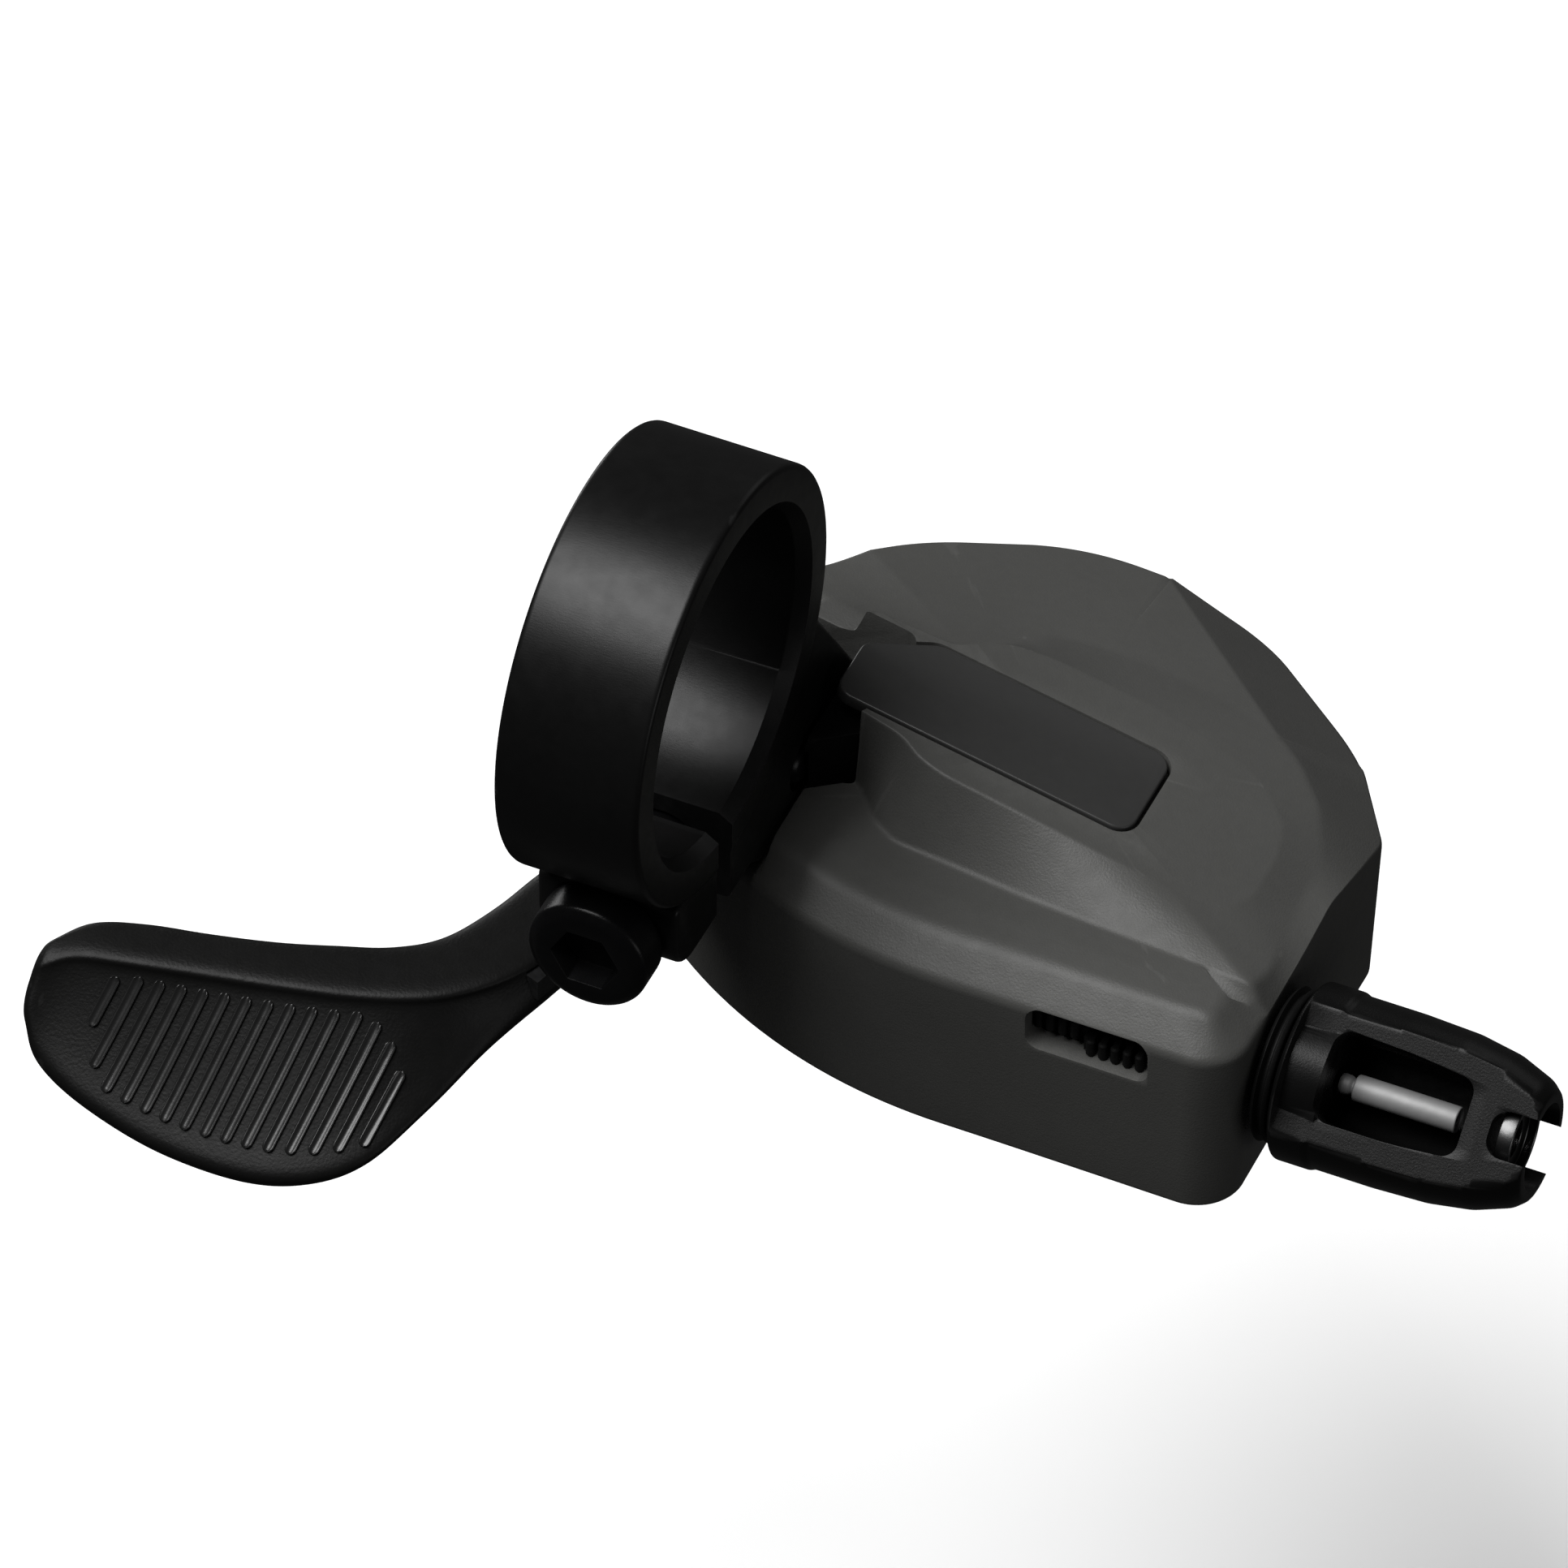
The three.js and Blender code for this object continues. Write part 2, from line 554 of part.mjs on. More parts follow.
// smooth ribbon of changing width along a path
function ribbonShape(path, widths) {
  const left = [];
  const right = [];
  path.forEach(([x, y], i) => {
    const a = path[Math.max(i - 1, 0)];
    const b = path[Math.min(i + 1, path.length - 1)];
    const d = new THREE.Vector2(b[0] - a[0], b[1] - a[1]).normalize();
    const w = widths[i] / 2;
    left.push(new THREE.Vector2(x - d.y * w, y + d.x * w));
    right.push(new THREE.Vector2(x + d.y * w, y - d.x * w));
  });
  const smooth = (points) => new THREE.SplineCurve(points).getPoints(12);
  return new THREE.Shape([...smooth(left), ...smooth(right).reverse()]);
}

const rivetHoles = () => RIVETS.map(([x, y]) => rodZ(x, y, -40, -30, RIVET_R + 0.15, 12)).reduce((a, b) => a.add(b));

// steel plate with a hub hole that is keyed to the drive hub by a flat
function leverPlate() {
  const [x, y] = PIVOT;
  const hole = rodZ(x, y, -37, -33, 4.65, 24).subtract(box(x + 4.05, x + 6, 0, 30, -38, -32));
  return extrude(ribbonShape(ARM_PATH.slice(0, 5), [12, 7, 4.6, 4.2, 4.0]), ...PLATE_LEVEL)
    .add(rodZ(x, y, ...PLATE_LEVEL, 9.0, 32))
    .subtract(hole)
    .subtract(rivetHoles());
}

// paddle stations: x, back edge y, top z, thickness in y, height down the face
const PADDLE = [
  [-11.4, 1.6, LEVER_TOP, 4.8, 2.6],
  [-13.2, 1.2, LEVER_TOP, 4.6, 5.6],
  [-16.0, 1.0, LEVER_TOP, 4.0, 9.0],
  [-20.5, -0.4, LEVER_TOP, 3.5, 11.2],
  [-25.5, -1.5, LEVER_TOP, 3.4, 11.8],
  [-30.5, -2.5, LEVER_TOP, 3.4, 11.4],
  [-34.8, -3.8, LEVER_TOP, 3.5, 9.8],
  [-37.6, -5.6, LEVER_TOP - 0.4, 3.4, 7.0],
  [-39.2, -8.0, LEVER_TOP - 1.4, 2.4, 3.4],
];
const FACE_DOWN = [-0.72, -0.69];  // down the thumb face, in Y and Z
const FACE_IN = [0.69, -0.72];     // square to it, into the paddle

function paddleRing([x, y, z, thick, height]) {
  const front = y - thick;
  const low = [front + FACE_DOWN[0] * height, z + FACE_DOWN[1] * height];
  return [
    [y - 0.7, z], [front + 0.8, z], [front - 0.2, z - 0.55],
    [low[0] + 0.3, low[1] + 0.5], [low[0] + 0.25, low[1] - 0.35],
    [low[0] + FACE_IN[0] * 2.4, low[1] + FACE_IN[1] * 2.4 + 0.3],
    [y - 0.4 + FACE_DOWN[0] * 1.6, z - 3.3], [y, z - 0.8],
  ].map((yz) => [x, ...yz]);
}

// moulded arm and paddle, with a slot that the steel plate slides into
function thumbLever() {
  const slot = extrude(
    ribbonShape(ARM_PATH.slice(1, 5), [7.6, 5.2, 4.8, 4.6]),
    PLATE_LEVEL[0] - 0.2,
    PLATE_LEVEL[1] + 0.2,
  );
  return extrude(ribbonShape(ARM_PATH.slice(2), [8.2, 7.6, 7.0, 6.4]), LEVER_TOP - ARM_THICK, LEVER_TOP)
    .add(loft(PADDLE.map(paddleRing)))
    .subtract(slot)
    .subtract(rivetHoles());
}

const rivet = () => turned([
  [-37.5, 0], [-37.4, 1.3], [-37.0, 1.9], [-36.95, 1.9], [-36.95, RIVET_R], [-34.2, RIVET_R], [-34.2, 0],
], 16, 'z');

// ---------- adjuster, drawn along X about the cable line ----------
const BARREL_TURN = THREE.MathUtils.degToRad(-47);

function barrel() {
  const turnedBody = turned([
    [39.9, 3.08], [39.9, 5.4], [40.2, 5.75], [42.3, 5.75], [42.6, 5.6], [46.5, 5.6], [50.5, 5.4], [53.5, 4.9],
    [56.0, 3.7], [56.0, 2.9], [53.7, 2.9], [53.7, 1.2], [52.6, 1.2], [52.6, 2.7], [43.0, 2.7], [43.0, 3.08], [39.9, 3.08],
  ], 28, 'x');
  // two slanted flats
  const flat = (side) => place(new THREE.BoxGeometry(30, 6, 20), (g) => g.translate(13.4, 3, 0)
    .rotateZ(-0.055).translate(42.2, 3.85, 0).rotateX(side > 0 ? 0 : Math.PI));
  // a window through one flat, and a slot across the tip
  const window_ = place(new THREE.ExtrudeGeometry(roundedShape([
    [42.6, -2.8, 1.2], [51.7, -2.3, 1.2], [51.7, 2.5, 1.2], [42.6, 3.2, 1.2],
  ]), { depth: 9, bevelEnabled: false, curveSegments: ARC_STEPS }), (g) => g.rotateX(Math.PI / 2));
  return turnedBody
    .subtract(flat(1))
    .subtract(flat(-1))
    .subtract(window_)
    .subtract(box(53.3, 58, -9, 9, -1.5, 1.5));
}

const adjusterSleeve = () => turned([
  [35.0, 0.9], [35.0, 3.5], [36.1, 3.5], [36.1, 3.0], [42.4, 3.0], [42.4, 0.9], [35.0, 0.9],
], 24, 'x');

const adjusterBoot = () => turned([
  [38.5, 3.3], [38.5, 4.7], [38.8, 5.0], [39.0, 4.5], [39.2, 4.5], [39.4, 5.0], [39.6, 4.7], [39.6, 3.3], [38.5, 3.3],
], 22, 'x');

const cableSleeve = () => turned([
  [43.0, 0.4], [43.0, 0.6], [43.6, 0.6], [43.6, 0.85], [50.5, 0.85], [50.5, 0.4], [43.0, 0.4],
], 14, 'x');

const casingSeat = () => turned([
  [53.8, 1.3], [53.8, 2.8], [54.8, 2.8], [54.8, 2.45], [54.2, 2.45], [54.2, 1.3], [53.8, 1.3],
], 20, 'x');

// ---------- assembly ----------
const HALF_TURN = Math.PI / 2;

function addClamp(parent) {
  add(parent, 'clamp_band', clampBand(), ANODISED);
  add(parent, 'clamp_bolt', screw(2.5, 15.6, 4.0, 3.0, 2.3), DARK_STEEL, [0, -8.3, BOLT_Z], [-HALF_TURN, 0, 0]);
  const nut = box(-3.9, 3.9, -1.3, 1.3, -3.7, 3.9).subtract(rodY(0, 0, -3, 3, 2.65));
  add(parent, 'clamp_nut', nut, DARK_STEEL, [0, 4.2, BOLT_Z]);
  add(parent, 'clamp_bracket', clampBracket(), BLACK);
  BRACKET_SCREWS.forEach(({ y, tip }, i) => {
    const body = screw(1.4, tip + 2.4, 2.3, 2.1, 1.1);
    add(parent, `bracket_screw_${i + 1}`, body, DARK_STEEL, [-2.4, y, SCREW_Z], [0, HALF_TURN, 0]);
  });
}

function addHousing(parent) {
  add(parent, 'upper_cover', upperCover(), GREY);
  add(parent, 'inlay_plate', onDeck(roundedShape(PLATE), 0.9, 0.0), PLATE_BLACK);
  add(parent, 'window_grommet', windowGrommet(), RUBBER);
  add(parent, 'lower_cover', lowerCover(), BLACK);
  add(parent, 'base_plate', basePlate(), STEEL);
  BOSSES.forEach(([x, y], i) => {
    add(parent, `cover_screw_${i + 1}`, screw(1.1, 7.6, 2.1, 0.6, 1.0), STEEL, [x, y, -32.15]);
  });
}

function addMechanism(parent) {
  add(parent, 'main_axle', mainAxle(), STEEL);
  add(parent, 'axle_nut', hexNut(8, 2.6, 2.55), STEEL, [0, 0, -39.2]);
  add(parent, 'axle_washer', washer(5.2, 2.65, -36.55, -36.3), STEEL);
  add(parent, 'hold_pin', pin(LEVELS.base[0], PIN_TOP), STEEL, [...HOLD_PIN, 0]);
  add(parent, 'hold_pawl', pawl(HOLD), STEEL, [...HOLD_PIN, 0]);
  add(parent, 'hold_spring', pawlSpring(30), STEEL, [...HOLD_PIN, 0]);
  add(parent, 'ratchet_wheel', ratchetWheel(), STEEL);
  add(parent, 'cable_drum', cableDrum(), NATURAL);
  add(parent, 'drum_spring', coil(-25.0, 5.4, 0.35, 2.5, 0.85, 0), STEEL);
  add(parent, 'drive_hub', driveHub(), STEEL);
  add(parent, 'drive_plate', drivePlate(), STEEL);
  add(parent, 'drive_pin', pin(LEVELS.drive[0], PIN_TOP), STEEL, [...DRIVE_PIN, 0]);
  add(parent, 'drive_pawl', pawl(DRIVE), STEEL, [...DRIVE_PIN, 0]);
  add(parent, 'drive_spring', pawlSpring(200), STEEL, [...DRIVE_PIN, 0]);
  add(parent, 'lever_spring', coil(-33.3, 6.6, 0.38, 1.75, 0.8, 0), STEEL);
}

function addLever(parent) {
  add(parent, 'lever_plate', leverPlate(), STEEL);
  add(parent, 'thumb_lever', thumbLever(), BLACK);
  RIVETS.forEach(([x, y], i) => add(parent, `lever_rivet_${i + 1}`, rivet(), STEEL, [x, y, 0]));
}

function addAdjuster(parent) {
  add(parent, 'adjuster_sleeve', adjusterSleeve(), DARK_STEEL);
  add(parent, 'adjuster_boot', adjusterBoot(), RUBBER);
  add(parent, 'barrel_adjuster', barrel(), BLACK, [0, 0, 0], [BARREL_TURN, 0, 0]);
  add(parent, 'cable_sleeve', cableSleeve(), STEEL);
  add(parent, 'casing_seat', casingSeat(), STEEL);
}

const shifter = new THREE.Group();
shifter.name = 'thumb_shifter';
addClamp(subgroup(shifter));
addHousing(subgroup(shifter));
addMechanism(subgroup(shifter, [...PIVOT, 0]));
addLever(subgroup(shifter));
addAdjuster(subgroup(shifter, [0, CABLE_Y, CABLE_Z]));

export default shifter;
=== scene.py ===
# Looks for the thumb shifter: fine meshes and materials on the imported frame, a floor, lights and the camera.
import json
import math

import bmesh
import bpy
import numpy as np
from mathutils import Matrix, Vector
from mathutils.bvhtree import BVHTree


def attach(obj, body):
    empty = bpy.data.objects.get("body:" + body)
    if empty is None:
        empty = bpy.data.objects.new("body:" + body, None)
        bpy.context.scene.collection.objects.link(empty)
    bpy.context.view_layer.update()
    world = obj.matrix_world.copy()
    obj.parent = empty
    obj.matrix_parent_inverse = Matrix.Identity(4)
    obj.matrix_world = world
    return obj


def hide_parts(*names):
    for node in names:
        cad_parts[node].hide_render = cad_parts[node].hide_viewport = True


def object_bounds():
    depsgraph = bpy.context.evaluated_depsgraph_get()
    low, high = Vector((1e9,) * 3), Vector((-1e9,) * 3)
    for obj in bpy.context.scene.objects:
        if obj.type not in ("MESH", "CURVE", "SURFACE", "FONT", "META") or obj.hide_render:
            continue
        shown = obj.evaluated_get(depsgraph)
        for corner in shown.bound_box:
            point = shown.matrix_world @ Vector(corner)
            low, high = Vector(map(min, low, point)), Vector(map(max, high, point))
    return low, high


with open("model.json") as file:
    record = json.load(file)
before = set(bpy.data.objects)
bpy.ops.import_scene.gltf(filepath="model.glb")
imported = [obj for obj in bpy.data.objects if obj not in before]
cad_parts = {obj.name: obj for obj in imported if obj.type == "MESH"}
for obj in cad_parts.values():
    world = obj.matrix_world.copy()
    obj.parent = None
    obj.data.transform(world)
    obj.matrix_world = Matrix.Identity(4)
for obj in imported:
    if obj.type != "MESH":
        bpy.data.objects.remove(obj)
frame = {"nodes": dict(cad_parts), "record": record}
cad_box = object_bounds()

MM = 0.001
scene = bpy.context.scene


# ---------- mesh helpers (millimetres in, metres out) ----------
def make(name, verts, faces, sharp=32):
    mesh = bpy.data.meshes.new(name)
    mesh.from_pydata([tuple(float(c) * MM for c in v) for v in verts], [], faces)
    obj = bpy.data.objects.new(name, mesh)
    scene.collection.objects.link(obj)
    clean(obj, sharp)
    return obj


def clean(obj, sharp=32, merge=1e-7):
    bm = bmesh.new()
    bm.from_mesh(obj.data)
    bmesh.ops.remove_doubles(bm, verts=bm.verts, dist=merge)
    bmesh.ops.dissolve_degenerate(bm, edges=bm.edges, dist=merge)
    loose = [v for v in bm.verts if not v.link_faces]
    bmesh.ops.delete(bm, geom=loose, context="VERTS")
    bmesh.ops.recalc_face_normals(bm, faces=bm.faces)
    bm.to_mesh(obj.data)
    bm.free()
    obj.data.polygons.foreach_set("use_smooth", [True] * len(obj.data.polygons))
    obj.data.set_sharp_from_angle(angle=math.radians(sharp))


def settle(obj):
    """Applies the object's modifiers to its mesh."""
    graph = bpy.context.evaluated_depsgraph_get()
    graph.update()
    mesh = bpy.data.meshes.new_from_object(obj.evaluated_get(graph))
    obj.modifiers.clear()
    old = obj.data
    obj.data = mesh
    bpy.data.meshes.remove(old)


def combine(obj, others, how="DIFFERENCE", sharp=32):
    for other in others:
        m = obj.modifiers.new("cut", "BOOLEAN")
        m.operation = how
        m.solver = "MANIFOLD"
        m.object = other
    settle(obj)
    for other in others:
        bpy.data.objects.remove(other)
    clean(obj, sharp)
    return obj


def soften(obj, width, segments=3, angle=32, sharp=32):
    """Rounds the sharp edges by width, in millimetres."""
    m = obj.modifiers.new("soft", "BEVEL")
    m.width = width * MM
    m.segments = segments
    m.limit_method = "ANGLE"
    m.angle_limit = math.radians(angle)
    m.use_clamp_overlap = True
    m.harden_normals = False
    settle(obj)
    clean(obj, sharp)
    return obj


def subdivided(obj, levels):
    m = obj.modifiers.new("smooth", "SUBSURF")
    m.levels = levels
    m.render_levels = levels
    settle(obj)
    clean(obj, 60)
    return obj


def turned(name, profile, segments, axis="x", at=(0, 0, 0), fillet=0.0, closed=False, sharp=32):
    """Profile [along, radius] turned about an axis, with its corners rounded by fillet."""
    points = rounded_line(profile, fillet) if fillet else [tuple(p) for p in profile]
    verts = []
    faces = []
    count = len(points)
    for i in range(segments):
        a = 2 * math.pi * i / segments
        for along, r in points:
            u, v = r * math.cos(a), r * math.sin(a)
            p = (along, u, v) if axis == "x" else (v, along, u) if axis == "y" else (u, v, along)
            verts.append(tuple(p[k] + at[k] for k in range(3)))
    for i in range(segments):
        j = (i + 1) % segments
        for k in range(count if closed else count - 1):
            m = (k + 1) % count
            faces.append((i * count + k, i * count + m, j * count + m, j * count + k))
    return make(name, verts, faces, sharp)


def rounded_line(points, fillet, steps=4):
    """Open line with every inner corner rounded."""
    out = [tuple(points[0])]
    for before, at, after in zip(points, points[1:], points[2:]):
        p, q, r = (np.array(v, float) for v in (before, at, after))
        reach = min(fillet, 0.45 * np.linalg.norm(q - p), 0.45 * np.linalg.norm(r - q))
        if reach < 1e-4:
            out.append(tuple(q))
            continue
        start = q + (p - q) / np.linalg.norm(p - q) * reach
        end = q + (r - q) / np.linalg.norm(r - q) * reach
        for k in range(steps + 1):
            t = k / steps
            out.append(tuple((1 - t) ** 2 * start + 2 * t * (1 - t) * q + t * t * end))
    out.append(tuple(points[-1]))
    return out


def rounded_outline(corners, steps=8):
    """Closed outline [x, y, radius] with true arcs at its corners."""
    out = []
    count = len(corners)
    for i, (x, y, r) in enumerate(corners):
        at = np.array([x, y], float)
        a = np.array(corners[i - 1][:2], float) - at
        b = np.array(corners[(i + 1) % count][:2], float) - at
        a /= np.linalg.norm(a)
        b /= np.linalg.norm(b)
        half = math.acos(max(-1, min(1, float(a @ b)))) / 2
        reach = r / math.tan(half)
        start, end = at + a * reach, at + b * reach
        middle = (a + b) / np.linalg.norm(a + b) * r / math.sin(half)
        centre = at + middle
        from_a = math.atan2(*(start - centre)[::-1])
        to_a = math.atan2(*(end - centre)[::-1])
        turn = (to_a - from_a + math.pi) % (2 * math.pi) - math.pi
        for k in range(steps + 1):
            t = from_a + turn * k / steps
            out.append((centre[0] + r * math.cos(t), centre[1] + r * math.sin(t)))
    return out


def inset(corners, d):
    out = []
    count = len(corners)
    for i, (x, y, r) in enumerate(corners):
        p = corners[i - 1]
        q = corners[(i + 1) % count]
        u = np.array([x - p[0], y - p[1]], float)
        v = np.array([q[0] - x, q[1] - y], float)
        u /= np.linalg.norm(u)
        v /= np.linalg.norm(v)
        nu, nv = np.array([-u[1], u[0]]), np.array([-v[1], v[0]])
        k = d / (1 + float(nu @ nv))
        out.append((x + (nu[0] + nv[0]) * k, y + (nu[1] + nv[1]) * k, max(r - d, 0.6)))
    return out


def prism(name, outline, low, high, frame_of=lambda u, v, w: (u, v, w), sharp=32):
    """Outline [u, v] pushed from low to high along w."""
    count = len(outline)
    verts = [frame_of(u, v, low) for u, v in outline] + [frame_of(u, v, high) for u, v in outline]
    faces = [tuple(range(count))[::-1], tuple(range(count, 2 * count))]
    faces += [(i, (i + 1) % count, count + (i + 1) % count, count + i) for i in range(count)]
    return make(name, verts, faces, sharp)


def block(name, x0, x1, y0, y1, z0, z1):
    return prism(name, [(x0, y0), (x1, y0), (x1, y1), (x0, y1)], z0, z1)


def skin(name, rings, sharp=32, caps=True):
    """Skin over rings of equal length."""
    count = len(rings[0])
    verts = [p for ring in rings for p in ring]
    faces = []
    for r in range(len(rings) - 1):
        for i in range(count):
            j = (i + 1) % count
            a, b = r * count + i, r * count + j
            faces.append((a, b, b + count, a + count))
    if caps:
        faces.append(tuple(range(count))[::-1])
        faces.append(tuple(range((len(rings) - 1) * count, len(rings) * count)))
    return make(name, verts, faces, sharp)


along_x = lambda u, v, w: (w, u, v)          # outline in YZ
along_y = lambda u, v, w: (u, w, v)          # outline in XZ


# ---------- materials ----------
def material(name, colour, rough, spec=0.5, metal=0.0, grain=(5.0, 0.1), blotch=0.12, streak=None, wear=0.0,
             coat=0.0):
    """Procedural finish: blotchy colour, grain in bump and roughness, optional brushing and edge wear."""
    mat = bpy.data.materials.new(name)
    mat.use_nodes = True
    tree = mat.node_tree
    tree.nodes.clear()
    n, link = tree.nodes.new, tree.links.new
    out = n("ShaderNodeOutputMaterial")
    shader = n("ShaderNodeBsdfPrincipled")
    link(shader.outputs["BSDF"], out.inputs["Surface"])
    shader.inputs["Metallic"].default_value = metal
    shader.inputs["Specular IOR Level"].default_value = spec
    shader.inputs["Coat Weight"].default_value = coat
    shader.inputs["Coat Roughness"].default_value = 0.25
    where = n("ShaderNodeTexCoord")
    scale = n("ShaderNodeMapping")
    scale.inputs["Scale"].default_value = (1000.0, 1000.0, 1000.0)
    link(where.outputs["Object"], scale.inputs["Vector"])

    def noise(size, detail=3.0, stretch=None):
        node = n("ShaderNodeTexNoise")
        node.inputs["Scale"].default_value = size
        node.inputs["Detail"].default_value = detail
        source = scale.outputs["Vector"]
        if stretch:
            pull = n("ShaderNodeMapping")
            pull.inputs["Scale"].default_value = stretch
            link(source, pull.inputs["Vector"])
            source = pull.outputs["Vector"]
        link(source, node.inputs["Vector"])
        return node.outputs["Fac"]

    # colour
    big = noise(0.12, 4.0)
    small = noise(1.6, 4.0)
    mix = n("ShaderNodeMix")
    mix.data_type = "FLOAT"
    mix.inputs[0].default_value = 0.4
    link(big, mix.inputs[2])
    link(small, mix.inputs[3])
    ramp = n("ShaderNodeValToRGB")
    ramp.color_ramp.elements[0].position = 0.35
    ramp.color_ramp.elements[1].position = 0.68
    ramp.color_ramp.elements[0].color = tuple(c * (1 - blotch) for c in colour) + (1,)
    ramp.color_ramp.elements[1].color = tuple(c * (1 + blotch) for c in colour) + (1,)
    link(mix.outputs[0], ramp.inputs["Fac"])
    tint = ramp.outputs["Color"]
    if wear:
        geometry = n("ShaderNodeNewGeometry")
        edge = n("ShaderNodeMapRange")
        edge.inputs["From Min"].default_value = 0.53
        edge.inputs["From Max"].default_value = 0.62
        link(geometry.outputs["Pointiness"], edge.inputs["Value"])
        worn = n("ShaderNodeMath")
        worn.operation = "MULTIPLY"
        link(edge.outputs["Result"], worn.inputs[0])
        link(small, worn.inputs[1])
        lighter = n("ShaderNodeMix")
        lighter.data_type = "RGBA"
        lighter.inputs[7].default_value = tuple(min(1, c * (1 + wear) + 0.01) for c in colour) + (1,)
        link(worn.outputs[0], lighter.inputs[0])
        link(tint, lighter.inputs[6])
        tint = lighter.outputs[2]
    link(tint, shader.inputs["Base Color"])
    # roughness
    spread = n("ShaderNodeMapRange")
    spread.inputs["To Min"].default_value = max(0.05, rough - 0.07)
    spread.inputs["To Max"].default_value = rough + 0.07
    link(noise(0.9, 5.0), spread.inputs["Value"])
    link(spread.outputs["Result"], shader.inputs["Roughness"])
    # grain
    bump = n("ShaderNodeBump")
    bump.inputs["Strength"].default_value = grain[1]
    bump.inputs["Distance"].default_value = 0.00008
    link(noise(grain[0], 6.0, streak), bump.inputs["Height"])
    link(bump.outputs["Normal"], shader.inputs["Normal"])
    return mat


FINISH = {
    "cover_grey": material("cover_grey", (0.060, 0.060, 0.057), 0.48, 0.30, grain=(7.0, 0.28), blotch=0.05, wear=0.2),
    "plate_black": material("plate_black", (0.030, 0.030, 0.0295), 0.34, 0.28, grain=(9.0, 0.05), blotch=0.05),
    "anodised_black": material("anodised_black", (0.0035, 0.0035, 0.0035), 0.36, 0.20, grain=(12.0, 0.06),
                               blotch=0.15, streak=(0.25, 1.0, 1.0), wear=0.6),
    "moulded_black": material("moulded_black", (0.0046, 0.0046, 0.0045), 0.42, 0.13, grain=(5.0, 0.30),
                              blotch=0.12, wear=0.5),
    "adjuster_black": material("adjuster_black", (0.0032, 0.0032, 0.0032), 0.32, 0.15, grain=(8.0, 0.12), blotch=0.1,
                               wear=0.4),
    "rubber_black": material("rubber_black", (0.004, 0.004, 0.004), 0.55, 0.12, grain=(4.0, 0.30), blotch=0.15),
    "dark_steel": material("dark_steel", (0.003, 0.003, 0.0032), 0.28, 0.14, grain=(10.0, 0.12), blotch=0.2, wear=0.8),
    "steel": material("steel", (0.45, 0.45, 0.45), 0.42, 0.5, metal=0.7, grain=(3.0, 0.08), blotch=0.06,
                      streak=(1.0, 8.0, 8.0), wear=0.2),
    "natural_plastic": material("natural_plastic", (0.33, 0.32, 0.29), 0.45, 0.3, grain=(3.0, 0.15), blotch=0.06),
}

# The steel pin's light grey, rough base colour is painted reflection: it stands in for the bright sheen of a steel pin
# under studio light.
PIN_STEEL_PAINTED_REFLECTION = material("pin_steel_painted_reflection", (0.30, 0.30, 0.30), 0.62, 0.4, metal=0.5, grain=(3.0, 0.06), blotch=0.08)
SEAT_STEEL = material("seat_steel", (0.07, 0.07, 0.07), 0.30, 0.5, metal=1.0, grain=(6.0, 0.05), blotch=0.1, wear=0.2)
RIB_BLACK = material("rib_black", (0.008, 0.008, 0.008), 0.27, 0.45, grain=(6.0, 0.04), blotch=0.15)
DULL_BLACK = material("dull_black", (0.0022, 0.0022, 0.0022), 0.55, 0.06, grain=(8.0, 0.1), blotch=0.2)


def dress(obj, slot, body, *nodes):
    obj.data.materials.clear()
    obj.data.materials.append(FINISH[slot])
    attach(obj, body)
    if nodes:
        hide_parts(*nodes)
    return obj


slot_of = {entry["node"]: entry["material_slot"] for entry in frame["record"]["subparts"]}
for node, obj in frame["nodes"].items():
    if not obj.material_slots:
        obj.data.materials.append(FINISH[slot_of[node]])
    for place in obj.material_slots:
        place.material = FINISH[slot_of[node]]


# ---------- clamp ----------
BORE_R, BAND_R, BAND_HALF = 11.15, 14.2, 4.8
BOLT_Z = -15.3
SCREW_Z = -16.3
SCREW_AT = ((10.8, 4.9), (16.4, 11.0))


def clamp_band():
    h = BAND_HALF
    outer = rounded_line([(-h, 11.8), (-h, BAND_R), (h, BAND_R), (h, 11.8)], 0.42, 5)
    inner = rounded_line([(h, 11.8), (h - 0.9, BORE_R), (-h + 0.9, BORE_R), (-h, 11.8)], 0.12, 3)
    ring = turned("clamp_band_fine", outer + inner[1:-1], 256, "x", closed=True)
    arm = prism("arm", rounded_outline([
        (-8, -12.4, 0.6), (-8, -18, 2.6), (3.2, -18.2, 1.2), (4.6, -19.2, 1.2),
        (19.4, -19.2, 1.2), (19.4, -15.2, 2.4), (12.8, -5.2, 1.5), (0, -10.2, 1.0),
    ], 8), -4.7, 4.7, along_x)
    soften(arm, 0.35, 3)
    combine(ring, [arm], "UNION")
    bore = turned("bore", [(-7, 0), (-7, 13.6), (-h, 11.8), (-h + 0.9, BORE_R + 0.004),
                          (h - 0.9, BORE_R + 0.004), (h, 11.8),
                           (7, 13.6), (7, 0)], 256, "x")
    gap = block("gap", -8, 8, -2.0, 0.0, -24, -9)
    spot = turned("spot", [(-16, 0), (-16, 4.35), (-8, 4.35), (-8, 2.8), (8, 2.8), (8, 0)], 64, "y", (0, 0, BOLT_Z))
    nut = block("nut", -4.2, 4.2, 2.6, 5.8, -20, BOLT_Z + 4.2)
    holes = [turned("hole", [(-8, 0), (-8, 2.6), (-2.2, 2.6), (-2.2, 1.8), (tip + 0.3, 1.8), (tip + 0.3, 0)], 48, "x",
                    (0, y, SCREW_Z)) for y, tip in SCREW_AT]
    combine(ring, [bore, gap, spot, nut] + holes)
    return dress(ring, "anodised_black", "frame", "clamp_band")


